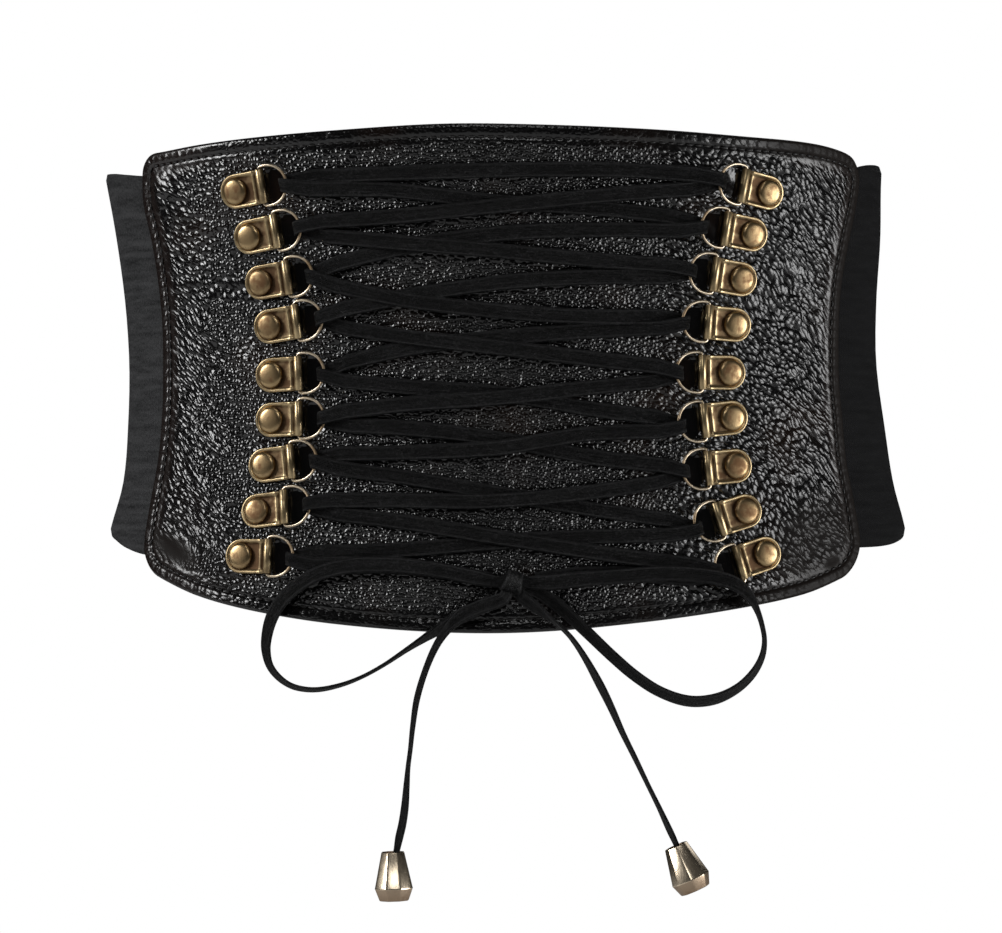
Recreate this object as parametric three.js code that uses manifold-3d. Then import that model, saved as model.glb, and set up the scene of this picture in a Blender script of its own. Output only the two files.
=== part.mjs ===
// A wide cinch belt: a laced leather front panel, two elastic wings that run
// round the waist, eighteen riveted brass tabs with D-rings, and one flat lace
// tied in a bow whose ends hang in two brass tips.
//
// Millimetres and degrees, +Z up. The origin is the middle of the waist hollow
// at half the height of the panel, the front of the belt faces -Y, and left and
// right are as seen from the front.

import * as THREE from 'three';
import { mergeVertices } from 'three/addons/utils/BufferGeometryUtils.js';
import Module from 'manifold-3d';

const wasm = await Module();
wasm.setup();

// Driving dimensions

const gap = 0.3; // clear space between two pieces that touch
const leatherThickness = 2;
const elasticThickness = 1.5;
const panelLift = gap + leatherThickness; // from the elastic's outer face to the panel's

// The waist's plan at a few heights: half widths and half depth of the elastic's outer face
const waistSections = [
  { z: 85, left: 134.5, right: 127, depth: 89.5 },
  { z: 67, left: 131.5, right: 126, depth: 88 },
  { z: 47, left: 128, right: 125.8, depth: 86.7 },
  { z: 27, left: 125.2, right: 124.6, depth: 85.9 },
  { z: 7, left: 123.7, right: 124.4, depth: 85.7 },
  { z: -13, left: 124, right: 126.8, depth: 85.7 },
  { z: -33, left: 125.7, right: 129.8, depth: 86.3 },
  { z: -50, left: 130.2, right: 134.2, depth: 87.7 },
  { z: -85, left: 136, right: 140, depth: 89.5 },
];

// The front panel's side edges, as distances from the middle seen from the front
const panelSides = [
  { z: 72, left: 116.5, right: 117 },
  { z: 58, left: 116.5, right: 115.5 },
  { z: 45, left: 113.7, right: 112.7 },
  { z: 32, left: 111.6, right: 110.3 },
  { z: 19, left: 110.3, right: 109.3 },
  { z: 0, left: 110, right: 109.3 },
  { z: -13, left: 110.4, right: 110.4 },
  { z: -26, left: 111.7, right: 111.6 },
  { z: -39, left: 114, right: 114 },
  { z: -52, left: 116, right: 116 },
  { z: -65, left: 117, right: 116.5 },
];

// Its top and bottom edges
const panelHeights = [
  { x: -116, top: 72.8, bottom: -60.5 },
  { x: -105, top: 73.5, bottom: -64.5 },
  { x: -90, top: 75, bottom: -69.5 },
  { x: -70, top: 76.6, bottom: -74 },
  { x: -45, top: 78.2, bottom: -77.8 },
  { x: -15, top: 79.8, bottom: -80.2 },
  { x: 10, top: 79.5, bottom: -80 },
  { x: 40, top: 78.4, bottom: -77 },
  { x: 65, top: 77, bottom: -73.5 },
  { x: 90, top: 75.8, bottom: -69 },
  { x: 105, top: 73.8, bottom: -64.5 },
  { x: 116, top: 70.5, bottom: -60.5 },
];
const panelHalfWidth = 116;
const panelHalfAngle = 60; // of the waist's round that it covers, for its corners
const panelCorners = { topLeft: 6, topRight: 7, bottomLeft: 8, bottomRight: 9 };
const sideRadius = 100; // of the waist's plan near its sides, for its corners

// The elastic's top and bottom edges by the angle round the waist from the front
const elasticHeights = [
  { angle: 50, leftTop: 66, leftBottom: -57, rightTop: 66, rightBottom: -54 },
  { angle: 62, leftTop: 66, leftBottom: -56.5, rightTop: 67.5, rightBottom: -54 },
  { angle: 70, leftTop: 67, leftBottom: -54.5, rightTop: 70, rightBottom: -53.5 },
  { angle: 78, leftTop: 68, leftBottom: -52, rightTop: 71, rightBottom: -52 },
  { angle: 90, leftTop: 68.5, leftBottom: -50, rightTop: 70.5, rightBottom: -49.5 },
  { angle: 110, leftTop: 66, leftBottom: -48.5, rightTop: 67, rightBottom: -48.5 },
  { angle: 140, leftTop: 63, leftBottom: -47.5, rightTop: 63.5, rightBottom: -47.5 },
  { angle: 180, leftTop: 62, leftBottom: -47, rightTop: 62, rightBottom: -47 },
];
const elasticStart = 54; // the elastic's front end, under the panel
const elasticEnd = 179.8; // its back end, under the placket
const placketHalfAngle = 5;

// The tabs: where the rivet is, seen from the front, and how far the ring's end points up
const leftTabs = [
  { x: -84.3, z: 59.5, tilt: 8 },
  { x: -80, z: 45, tilt: 9 },
  { x: -76.35, z: 30.5, tilt: 8 },
  { x: -73.5, z: 16.5, tilt: 8 },
  { x: -73, z: 1, tilt: 3 },
  { x: -72.95, z: -13.2, tilt: 2 },
  { x: -75.3, z: -27.7, tilt: 7 },
  { x: -77.55, z: -42.2, tilt: 7 },
  { x: -82.6, z: -56.5, tilt: 0 },
];
const rightTabs = [
  { x: 84.55, z: 59.2, tilt: 11 },
  { x: 79.25, z: 45.8, tilt: 9 },
  { x: 75.8, z: 31.5, tilt: 8 },
  { x: 73.85, z: 17, tilt: 4 },
  { x: 72, z: 1.8, tilt: 0 },
  { x: 72.7, z: -12.5, tilt: -6 },
  { x: 73.95, z: -27.8, tilt: -5 },
  { x: 77, z: -42.2, tilt: -15 },
  { x: 83.3, z: -55.7, tilt: -16 },
];

const tab = {
  height: 11,
  length: 16.9,
  plate: 0.9,
  knuckleRadius: 1.35,
  rivetRadius: 4.2,
  rivetRise: 1.9,
  arcSteps: 6,
  knuckleSides: 8,
  boreSides: 6,
  rivetSides: 10,
};
tab.knuckleX = tab.length - tab.height / 2 - tab.knuckleRadius; // from the rivet's middle
tab.seatX = 5; // where the flat plate touches the round panel

// The rivet's dome, as shares of its radius and its rise over the plate
const rivetDome = [
  { radius: 1, rise: 0 },
  { radius: 0.78, rise: 0.62 },
  { radius: 0.42, rise: 0.92 },
  { radius: 0, rise: 1 },
];

const ring = {
  wireRadius: 0.5,
  halfHeight: 6.35,
  reach: 9.1, // from the bar to the front of the D, at the wire's middle
  squareness: 2.3,
  wireSides: 5,
  bowSteps: 10,
};
ring.frontX = tab.knuckleX + ring.reach;
ring.z = tab.knuckleRadius;

const lace = {
  width: 5,
  thickness: 1,
  foldWidth: 4.4, // where it is pinched round a ring
  edgeRound: 0.3, // of the free stretches' edges
  runLift: 1, // middle of a strand above the panel, where nothing is under it
  crossLift: 2.3, // middle of a strand that passes over another
  crossReach: 0.6, // how far past a lower strand's edge it stays that high
  crossSlope: 4, // and how far it then takes to come down
};

// The strands in the order the lace runs, from ring to ring, how far each bows
// upwards from a straight line, and whether it crosses over its neighbour
const strands = [
  { from: 'left_9', to: 'right_8', quarter: -0.6, half: 0.5, threeQuarter: 0.8, over: false },
  { from: 'right_8', to: 'left_7', quarter: -0.6, half: 0, threeQuarter: 0.5, over: false },
  { from: 'left_7', to: 'right_6', quarter: -1.3, half: -1.7, threeQuarter: 0.9, over: true },
  { from: 'right_6', to: 'left_5', quarter: 0.2, half: 1.6, threeQuarter: 0.5, over: false },
  { from: 'left_5', to: 'right_4', quarter: 3.1, half: 3, threeQuarter: 2, over: false },
  { from: 'right_4', to: 'left_3', quarter: -3.2, half: -4.2, threeQuarter: -3.5, over: true },
  { from: 'left_3', to: 'right_2', quarter: 3.9, half: 5, threeQuarter: 3.1, over: false },
  { from: 'right_2', to: 'left_1', quarter: 0.8, half: 0.3, threeQuarter: 1.7, over: false },
  { from: 'left_1', to: 'right_1', quarter: 0.8, half: 1.4, threeQuarter: 1.5, over: false },
  { from: 'right_1', to: 'left_2', quarter: 0, half: -0.6, threeQuarter: -1.1, over: true },
  { from: 'left_2', to: 'right_3', quarter: -0.5, half: -0.6, threeQuarter: -0.9, over: true },
  { from: 'right_3', to: 'left_4', quarter: 2.8, half: 3.9, threeQuarter: 2.7, over: false },
  { from: 'left_4', to: 'right_5', quarter: -0.7, half: -0.5, threeQuarter: -0.4, over: true },
  { from: 'right_5', to: 'left_6', quarter: 0, half: -0.5, threeQuarter: 0.4, over: true },
  { from: 'left_6', to: 'right_7', quarter: 2.1, half: 1.9, threeQuarter: -0.2, over: false },
  { from: 'right_7', to: 'left_8', quarter: -2.6, half: -3.6, threeQuarter: -1.8, over: true },
  { from: 'left_8', to: 'right_9', quarter: 0.8, half: 0, threeQuarter: -0.5, over: true },
];
const ringLeave = { upper: 1.2, lower: -2.4 }; // strands' middles just past a ring
const strandSkip = { start: 0.07, end: 0.05 }; // share of a strand taken up by its folds

// The fold round a ring's wire. The upper strand comes off over the wire or under it,
// and the under one is slimmer where it starts, so that it lies inside the other there.
const fold = {
  middle: -0.6,
  fan: 0.6, // how far the two strands have parted where they leave it
  slack: 0.75,
  overStart: -0.15, // share of the quarter turn
  underSlim: 0.85,
};

// The lace's two ends, from the lowest rings to the knot
const knotStrand = { quarter: 0.6, half: 1.8, threeQuarter: 1.6, over: false };
const knotStrandSkip = { start: 0.1, end: 0 };

const knot = { x: 3.5, z: -64.8, lift: 3.6, width: 10.5, height: 8, depth: 5.6, reach: 1.2 };

// Free stretches of the lace by hand: seen from the front, with the height above
// the panel and the turn of its flat face away from the front
const leftLoopRoute = [
  { x: -3.1, z: -63.8, lift: 3.9, turn: 10 },
  { x: -10, z: -62.4, lift: 3.2, turn: 0 },
  { x: -22.6, z: -60, lift: 2.9, turn: 0 },
  { x: -34.8, z: -58.8, lift: 2.9, turn: 0 },
  { x: -47.1, z: -59.1, lift: 2.9, turn: 2 },
  { x: -57.3, z: -61.5, lift: 2.8, turn: 5 },
  { x: -63.7, z: -65, lift: 2.8, turn: 7 },
  { x: -67.8, z: -68.4, lift: 2.8, turn: 10 },
  { x: -71, z: -72.4, lift: 3, turn: 12 },
  { x: -73, z: -76.5, lift: 3.2, turn: 17 },
  { x: -74.2, z: -81.2, lift: 3.4, turn: 25 },
  { x: -74.5, z: -85.9, lift: 3.6, turn: 33 },
  { x: -73.2, z: -91, lift: 3.6, turn: 44 },
  { x: -69.8, z: -95, lift: 3.6, turn: 55 },
  { x: -65.2, z: -97.5, lift: 3.6, turn: 66 },
  { x: -58.5, z: -98.2, lift: 3.6, turn: 76 },
  { x: -50.9, z: -96.7, lift: 3.4, turn: 83 },
  { x: -43.9, z: -94, lift: 3.3, turn: 88 },
  { x: -37, z: -90.2, lift: 3.3, turn: 88 },
  { x: -30.1, z: -85.6, lift: 3.3, turn: 82 },
  { x: -24.4, z: -81.9, lift: 3.2, turn: 70 },
  { x: -19.4, z: -78.8, lift: 2.8, turn: 49 },
  { x: -14.4, z: -75.8, lift: 2, turn: 22 },
  { x: -9.4, z: -73.3, lift: 1.5, turn: 9 },
  { x: -4.7, z: -70.8, lift: 1.5, turn: 5 },
];
const rightLoopRoute = [
  { x: 10, z: -66.8, lift: 2.4, turn: 15 },
  { x: 14.4, z: -69.2, lift: 2.6, turn: 22 },
  { x: 20.1, z: -73.7, lift: 3.4, turn: 39 },
  { x: 27.6, z: -80.8, lift: 4, turn: 50 },
  { x: 34.5, z: -87.4, lift: 4, turn: 54 },
  { x: 41.7, z: -93.6, lift: 4, turn: 56 },
  { x: 49.6, z: -98.7, lift: 4, turn: 54 },
  { x: 58.5, z: -101.7, lift: 4, turn: 47 },
  { x: 66.8, z: -101.3, lift: 4, turn: 42 },
  { x: 73.8, z: -98.3, lift: 4, turn: 44 },
  { x: 79, z: -93.7, lift: 4, turn: 43 },
  { x: 82.1, z: -88.4, lift: 4.2, turn: 46 },
  { x: 83, z: -83.2, lift: 4.4, turn: 51 },
  { x: 82.2, z: -78.1, lift: 4.6, turn: 51 },
  { x: 80.6, z: -73.3, lift: 4.9, turn: 47 },
  { x: 78.2, z: -68.9, lift: 5.2, turn: 32 },
  { x: 73.8, z: -65.1, lift: 5.4, turn: 14 },
  { x: 65.5, z: -62.6, lift: 5, turn: 4 },
  { x: 52.2, z: -61.6, lift: 3.4, turn: 0 },
  { x: 38.3, z: -62.4, lift: 3, turn: 0 },
  { x: 25.7, z: -63.3, lift: 3, turn: 0 },
  { x: 15.7, z: -64.2, lift: 3.4, turn: 0 },
  { x: 10, z: -64.3, lift: 4, turn: 5 },
];
const leftTailRoute = [
  { x: 0.4, z: -69.3, lift: 4.8, turn: 16 },
  { x: -6.6, z: -71.8, lift: 5.4, turn: 20 },
  { x: -12.5, z: -74.5, lift: 6.5, turn: 32 },
  { x: -16.8, z: -78.6, lift: 7.5, turn: 54 },
  { x: -20.4, z: -83.7, lift: 7.2, turn: 62 },
  { x: -23.8, z: -91.4, lift: 6, turn: 67 },
  { x: -26.6, z: -100.7, lift: 5.2, turn: 66 },
  { x: -27.9, z: -109.2, lift: 4.7, turn: 69 },
  { x: -28.7, z: -116.7, lift: 4.3, turn: 72 },
  { x: -29.4, z: -122.1, lift: 4, turn: 71 },
  { x: -29.9, z: -128.4, lift: 4, turn: 64 },
  { x: -30.4, z: -134.6, lift: 4, turn: 58 },
  { x: -31.2, z: -140, lift: 4, turn: 56 },
  { x: -32.2, z: -144.3, lift: 4, turn: 56 },
  { x: -32.9, z: -147.9, lift: 4, turn: 57 },
];
const rightTailRoute = [
  { x: 6.3, z: -68.8, lift: 4.8, turn: 30 },
  { x: 10.9, z: -72.2, lift: 5.8, turn: 50 },
  { x: 15.5, z: -75.8, lift: 6.8, turn: 78 },
  { x: 19.1, z: -78.8, lift: 6.8, turn: 84 },
  { x: 22.2, z: -82.2, lift: 6, turn: 83 },
  { x: 26.2, z: -88.2, lift: 5.2, turn: 77 },
  { x: 30.7, z: -96.4, lift: 4.8, turn: 71 },
  { x: 34.1, z: -103.3, lift: 4.4, turn: 76 },
  { x: 37.8, z: -111.5, lift: 4.2, turn: 83 },
  { x: 42, z: -120, lift: 4, turn: 87 },
  { x: 45.8, z: -127.9, lift: 4, turn: 91 },
  { x: 49.4, z: -135.2, lift: 4, turn: 90 },
  { x: 51.9, z: -140.6, lift: 4, turn: 86 },
  { x: 54.5, z: -146.2, lift: 4, turn: 84 },
];

// The lace's tips: radii at their edges, and where the middle of each top hangs, how
// far it leans to the right as it goes down, and how far it is turned from a flat front
const tip = {
  topRadius: 3.8,
  widestRadius: 6.3,
  bottomRadius: 4.8,
  widestDrop: 11.4,
  length: 15.3,
  sides: 8,
};
const leftTip = { x: -34.2, z: -148.7, lift: 4, lean: 1.6, turn: 0 };
const rightTip = { x: 54.6, z: -147.1, lift: 4, lean: 24, turn: 22.5 };

// Finishes

const finishes = {
  leather: new THREE.MeshStandardMaterial({ color: 0x17171a, roughness: 0.35, metalness: 0 }),
  elastic: new THREE.MeshStandardMaterial({ color: 0x242427, roughness: 0.85, metalness: 0 }),
  lace: new THREE.MeshStandardMaterial({ color: 0x1b1b1d, roughness: 0.9, metalness: 0 }),
  brass: new THREE.MeshStandardMaterial({ color: 0xb39a62, roughness: 0.32, metalness: 1 }),
  paleBrass: new THREE.MeshStandardMaterial({ color: 0xd8c4a0, roughness: 0.25, metalness: 1 }),
};

// Reading the tables

// Smooth value of a column between the rows of a table, flat beyond its ends
function columnAt(table, key, value, column) {
  const rising = table[0][key] < table[table.length - 1][key];
  const rows = rising ? table : [...table].reverse();
  const last = rows.length - 1;
  if (value <= rows[0][key]) return rows[0][column];
  if (value >= rows[last][key]) return rows[last][column];
  const i = rows.findIndex((row, n) => n < last && value < rows[n + 1][key]);
  const slope = (n) => {
    const before = rows[Math.max(n - 1, 0)];
    const after = rows[Math.min(n + 1, last)];
    return (after[column] - before[column]) / (after[key] - before[key]);
  };
  const step = rows[i + 1][key] - rows[i][key];
  const f = (value - rows[i][key]) / step;
  const bend = f * f * (3 - 2 * f);
  return (
    rows[i][column] * (1 - bend) +
    rows[i + 1][column] * bend +
    step * f * (1 - f) * (slope(i) * (1 - f) - slope(i + 1) * f)
  );
}

// The waist's surface

const degrees = THREE.MathUtils.degToRad;

function waistPoint(angle, z) {
  const half = columnAt(waistSections, 'z', z, angle < 0 ? 'left' : 'right');
  const depth = columnAt(waistSections, 'z', z, 'depth');
  return new THREE.Vector3(half * Math.sin(angle), -depth * Math.cos(angle), z);
}

// A point at a height over the elastic's outer face, with the directions there
function waistFrame(angle, z, lift) {
  const step = 0.01;
  const along = waistPoint(angle + step, z).sub(waistPoint(angle - step, z)).normalize();
  const up = waistPoint(angle, z + 1).sub(waistPoint(angle, z - 1)).normalize();
  const outward = new THREE.Vector3().crossVectors(along, up).normalize();
  const point = waistPoint(angle, z).addScaledVector(outward, lift);
  return { point, along, up, outward };
}

// The angle round the waist of a point seen from the front at x
function angleAt(x, z, lift) {
  const half = columnAt(waistSections, 'z', z, x < 0 ? 'left' : 'right') + lift;
  return Math.asin(THREE.MathUtils.clamp(x / half, -1, 1));
}

// The frame at x and z seen from the front, at a height over the panel's outer face
function frontFrame(x, z, height) {
  const lift = panelLift + height;
  const base = { x, z };
  for (let pass = 0; pass < 4; pass++) {
    const { point } = waistFrame(angleAt(base.x, base.z, 0), base.z, lift);
    base.x += x - point.x;
    base.z += z - point.z;
  }
  return waistFrame(angleAt(base.x, base.z, 0), base.z, lift);
}

// Closed bodies

function closedBody(positions, triangles) {
  const geometry = new THREE.BufferGeometry();
  geometry.setAttribute('position', new THREE.Float32BufferAttribute(positions, 3));
  geometry.setIndex(triangles);
  return geometry;
}

// A wall between two grids of points, [column][row], closed all round its rim
function wallBetween(outer, inner) {
  const columns = outer.length;
  const rows = outer[0].length;
  const positions = [...outer.flat(), ...inner.flat()].flatMap((p) => p.toArray());
  const at = (side, c, r) => side * columns * rows + c * rows + r;
  const triangles = [];
  const quad = (a, b, c, d) => triangles.push(a, b, c, a, c, d);
  for (let c = 0; c < columns - 1; c++) {
    for (let r = 0; r < rows - 1; r++) {
      quad(at(0, c, r), at(0, c + 1, r), at(0, c + 1, r + 1), at(0, c, r + 1));
      quad(at(1, c, r), at(1, c, r + 1), at(1, c + 1, r + 1), at(1, c + 1, r));
    }
    quad(at(0, c, 0), at(1, c, 0), at(1, c + 1, 0), at(0, c + 1, 0));
    quad(at(0, c + 1, rows - 1), at(1, c + 1, rows - 1), at(1, c, rows - 1), at(0, c, rows - 1));
  }
  for (let r = 0; r < rows - 1; r++) {
    quad(at(0, 0, r + 1), at(1, 0, r + 1), at(1, 0, r), at(0, 0, r));
    const last = columns - 1;
    quad(at(0, last, r), at(1, last, r), at(1, last, r + 1), at(0, last, r + 1));
  }
  return closedBody(positions, triangles);
}

// A body through rings of points, with flat ends or joined back to its start
function bodyThrough(rings, isLoop) {
  const sides = rings[0].length;
  const positions = rings.flat().flatMap((p) => p.toArray());
  const triangles = [];
  const steps = isLoop ? rings.length : rings.length - 1;
  for (let s = 0; s < steps; s++) {
    const here = s * sides;
    const next = ((s + 1) % rings.length) * sides;
    for (let k = 0; k < sides; k++) {
      const k2 = (k + 1) % sides;
      triangles.push(here + k, here + k2, next + k2, here + k, next + k2, next + k);
    }
  }
  if (!isLoop) {
    const end = (rings.length - 1) * sides;
    for (let k = 1; k < sides - 1; k++) {
      triangles.push(0, k + 1, k, end, end + k, end + k + 1);
    }
  }
  return closedBody(positions, triangles);
}

function toSolid(geometry) {
  const bare = geometry.clone();
  bare.deleteAttribute('normal');
  bare.deleteAttribute('uv');
  const merged = mergeVertices(bare, 1e-4);
  const mesh = new wasm.Mesh({
    numProp: 3,
    vertProperties: new Float32Array(merged.attributes.position.array),
    triVerts: new Uint32Array(merged.index.array),
  });
  return new wasm.Manifold(mesh);
}

function toGeometry(solid) {
  const { vertProperties, triVerts, numProp } = solid.getMesh();
  const positions = [];
  for (let i = 0; i < vertProperties.length; i += numProp) {
    positions.push(vertProperties[i], vertProperties[i + 1], vertProperties[i + 2]);
  }
  return closedBody(positions, [...triVerts]);
}

function named(name, geometry, finish) {
  geometry.computeVertexNormals();
  const mesh = new THREE.Mesh(geometry, finish);
  mesh.name = name;
  return mesh;
}

// The leather panel

const panelColumns = 28;
const panelRows = 9;
const panelCrowding = 0.35; // how much closer its columns stand at the sides
const panelInside = gap + 0.1; // its inner face, where flat facets must clear the elastic's

// How far a corner's arc has dropped at a distance in from the side edge
function cornerDrop(radius, fromSide) {
  const inside = Math.max(0, radius - fromSide);
  return radius - Math.sqrt(radius * radius - inside * inside);
}

function panelPoint(across, upFraction, lift) {
  const side = across < 0 ? 'left' : 'right';
  const sideName = across < 0 ? 'Left' : 'Right';
  const x = across * panelHalfWidth;
  const fromSide = (1 - Math.abs(across)) * degrees(panelHalfAngle) * sideRadius;
  const top = columnAt(panelHeights, 'x', x, 'top') - cornerDrop(panelCorners[`top${sideName}`], fromSide);
  const bottom =
    columnAt(panelHeights, 'x', x, 'bottom') + cornerDrop(panelCorners[`bottom${sideName}`], fromSide);
  const z = THREE.MathUtils.lerp(bottom, top, upFraction);
  const edgeX = Math.sign(across) * columnAt(panelSides, 'z', z, side);
  return waistFrame(Math.abs(across) * angleAt(edgeX, z, panelLift), z, lift).point;
}

function makePanel() {
  // Columns stand closer towards the sides, where the corners are round
  const spread = (n) => {
    const even = (2 * n) / panelColumns - 1;
    return THREE.MathUtils.lerp(even, Math.sin((even * Math.PI) / 2), panelCrowding);
  };
  const grid = (lift) =>
    Array.from({ length: panelColumns + 1 }, (_, c) =>
      Array.from({ length: panelRows + 1 }, (_, r) => panelPoint(spread(c), r / panelRows, lift)),
    );
  return named('front_panel', wallBetween(grid(panelLift), grid(panelInside)), finishes.leather);
}

// The elastic wings and the placket over their back ends

const elasticColumns = 17;
const elasticRows = 6;
const placketColumns = 4;
const placketRows = 4;

function bandGrid(angles, sideName, rows, lift) {
  return angles.map((angle) => {
    const size = Math.abs(angle);
    const top = columnAt(elasticHeights, 'angle', size, `${sideName}Top`);
    const bottom = columnAt(elasticHeights, 'angle', size, `${sideName}Bottom`);
    return Array.from({ length: rows + 1 }, (_, r) => {
      const z = THREE.MathUtils.lerp(bottom, top, r / rows);
      return waistFrame(degrees(angle), z, lift).point;
    });
  });
}

function makeElastic(sideName, direction) {
  const angles = Array.from({ length: elasticColumns + 1 }, (_, c) =>
    THREE.MathUtils.lerp(elasticStart, elasticEnd, c / elasticColumns) * direction,
  );
  if (direction < 0) angles.reverse();
  const geometry = wallBetween(
    bandGrid(angles, sideName, elasticRows, 0),
    bandGrid(angles, sideName, elasticRows, -elasticThickness),
  );
  return named(`elastic_${sideName}`, geometry, finishes.elastic);
}

function makePlacket() {
  const angles = Array.from({ length: placketColumns + 1 }, (_, c) =>
    180 + placketHalfAngle * ((2 * c) / placketColumns - 1),
  );
  const geometry = wallBetween(
    bandGrid(angles, 'right', placketRows, panelLift),
    bandGrid(angles, 'right', placketRows, gap),
  );
  return named('back_placket', geometry, finishes.leather);
}

// A tab's stamped plate, its rolled knuckle and the rivet through it, in its own
// frame: the rivet's middle is the origin, +X points to the ring, +Z outwards
function makeTabGeometry() {
  const half = tab.height / 2;
  const outline = new THREE.Shape();
  outline.moveTo(0, -half);
  outline.lineTo(tab.knuckleX, -half);
  outline.lineTo(tab.knuckleX, half);
  outline.lineTo(0, half);
  outline.absarc(0, 0, half, Math.PI / 2, (3 * Math.PI) / 2, false);
  const plate = new THREE.ExtrudeGeometry(outline, {
    depth: tab.plate,
    bevelEnabled: false,
    curveSegments: tab.arcSteps,
  });

  const rod = (radius, height, sides) =>
    new THREE.CylinderGeometry(radius, radius, height, sides).translate(tab.knuckleX, 0, tab.knuckleRadius);
  const knuckle = rod(tab.knuckleRadius, tab.height, tab.knuckleSides);
  const boreRadius = (ring.wireRadius + gap) / Math.cos(Math.PI / tab.boreSides);
  const bore = rod(boreRadius, tab.height * 2, tab.boreSides);

  const domeProfile = [
    new THREE.Vector2(0, tab.plate / 2),
    new THREE.Vector2(tab.rivetRadius, tab.plate / 2),
    ...rivetDome.map(
      ({ radius, rise }) => new THREE.Vector2(tab.rivetRadius * radius, tab.plate + tab.rivetRise * rise),
    ),
  ];
  const dome = new THREE.LatheGeometry(domeProfile, tab.rivetSides);
  dome.rotateX(Math.PI / 2);

  return toGeometry(toSolid(plate).add(toSolid(knuckle)).subtract(toSolid(bore)).add(toSolid(dome)));
}

// A D-ring in the same frame: a straight bar in the knuckle and a bowed front
function makeRingGeometry() {
  const route = [];
  for (let n = 0; n <= ring.bowSteps; n++) {
    const turn = THREE.MathUtils.lerp(-Math.PI / 2, Math.PI / 2, n / ring.bowSteps);
    const power = 2 / ring.squareness;
    const x = ring.reach * Math.pow(Math.abs(Math.cos(turn)), power);
    const y = ring.halfHeight * Math.sign(turn) * Math.pow(Math.abs(Math.sin(turn)), power);
    route.push(new THREE.Vector3(tab.knuckleX + x, y, ring.z));
  }
  const axis = new THREE.Vector3(0, 0, 1);
  const rings = route.map((point, n) => {
    const before = route[(n + route.length - 1) % route.length];
    const after = route[(n + 1) % route.length];
    const ahead = after.clone().sub(before).normalize();
    const aside = new THREE.Vector3().crossVectors(ahead, axis);
    return Array.from({ length: ring.wireSides }, (_, k) => {
      const turn = (2 * Math.PI * k) / ring.wireSides;
      return point
        .clone()
        .addScaledVector(aside, ring.wireRadius * Math.cos(turn))
        .addScaledVector(axis, ring.wireRadius * Math.sin(turn));
    });
  });
  return bodyThrough(rings, true);
}

// A group in a tab's frame on the panel, and the tab and ring in it
function placeTab(row, direction) {
  const tilt = degrees(row.tilt);
  const atRivet = frontFrame(row.x, row.z, gap);
  const guess = atRivet.point.clone();
  guess.addScaledVector(atRivet.along, -direction * tab.seatX * Math.cos(tilt));
  guess.addScaledVector(atRivet.up, tab.seatX * Math.sin(tilt));
  const seat = frontFrame(guess.x, guess.z, gap);
  const toRing = seat.along.clone().multiplyScalar(-direction * Math.cos(tilt));
  toRing.addScaledVector(seat.up, Math.sin(tilt)).normalize();
  const aside = new THREE.Vector3().crossVectors(seat.outward, toRing);
  const group = new THREE.Group();
  group.position.copy(seat.point).addScaledVector(toRing, -tab.seatX);
  group.quaternion.setFromRotationMatrix(new THREE.Matrix4().makeBasis(toRing, aside, seat.outward));
  group.updateMatrix();
  return group;
}

// The lace

// Rings of points for a flat ribbon through stations of point, across and through
function ribbonRings(stations, outline) {
  return stations.map(({ point, across, through, squeeze = 1 }) =>
    outline.map(([w, t]) =>
      point.clone().addScaledVector(across, w * squeeze).addScaledVector(through, t),
    ),
  );
}

const halfWidth = lace.width / 2;
const halfThick = lace.thickness / 2;
const flatOutline = [
  [-halfWidth, -halfThick],
  [halfWidth, -halfThick],
  [halfWidth, halfThick],
  [-halfWidth, halfThick],
];
const roundedOutline = [
  [-halfWidth + lace.edgeRound, -halfThick],
  [halfWidth - lace.edgeRound, -halfThick],
  [halfWidth, -halfThick / 2],
  [halfWidth, halfThick / 2],
  [halfWidth - lace.edgeRound, halfThick],
  [-halfWidth + lace.edgeRound, halfThick],
  [-halfWidth, halfThick / 2],
  [-halfWidth, -halfThick / 2],
];

const strandSteps = 7;
const knotStrandSteps = 4;
const lowerSamples = 40; // points on each lower strand that the upper ones look for

// A strand's stations from the middle of its fold, inside the ring, to past the wire
function foldStations(group, isUpper, goesOver) {
  const upSign = Math.sign(new THREE.Vector3(0, 1, 0).applyQuaternion(group.quaternion).z);
  const clear = ring.wireRadius + gap + halfThick;
  const side = goesOver ? 1 : -1;
  const fan = isUpper ? fold.fan : -fold.fan;
  return [goesOver ? fold.overStart : 0, 0.5, 1].map((f) => {
    const turn = (f * Math.PI) / 2;
    const away = Math.max(f, 0);
    const local = new THREE.Vector3(
      ring.frontX - (clear + fold.slack) * Math.cos(turn),
      (fold.middle + fan * away) * upSign,
      ring.z + side * clear * Math.sin(turn),
    );
    // Its outward side stays the one that the strand's outward side joins on to
    const through = new THREE.Vector3(-side * Math.cos(turn), 0, Math.sin(turn));
    const slim = goesOver ? 1 : THREE.MathUtils.lerp(fold.underSlim, 1, away);
    return {
      point: local.applyMatrix4(group.matrix),
      across: new THREE.Vector3(0, upSign, 0).applyQuaternion(group.quaternion),
      through: through.applyQuaternion(group.quaternion).multiplyScalar(slim),
      squeeze: (lace.foldWidth / lace.width) * slim,
    };
  });
}

function ringFront(group) {
  return new THREE.Vector3(ring.frontX, 0, ring.z).applyMatrix4(group.matrix);
}

// Where a strand's middle line starts, ends and runs, seen from the front
function strandLine(row, groups) {
  const start = ringFront(groups[row.from]);
  const end = ringFront(groups[row.to]);
  const isTopBar = row.to === 'right_1';
  const fromIsUpper = start.z < end.z || isTopBar;
  const toIsUpper = start.z > end.z || isTopBar;
  start.z += fromIsUpper ? ringLeave.upper : ringLeave.lower;
  end.z += toIsUpper ? ringLeave.upper : ringLeave.lower;
  return { start, end, fromIsUpper, toIsUpper };
}

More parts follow.
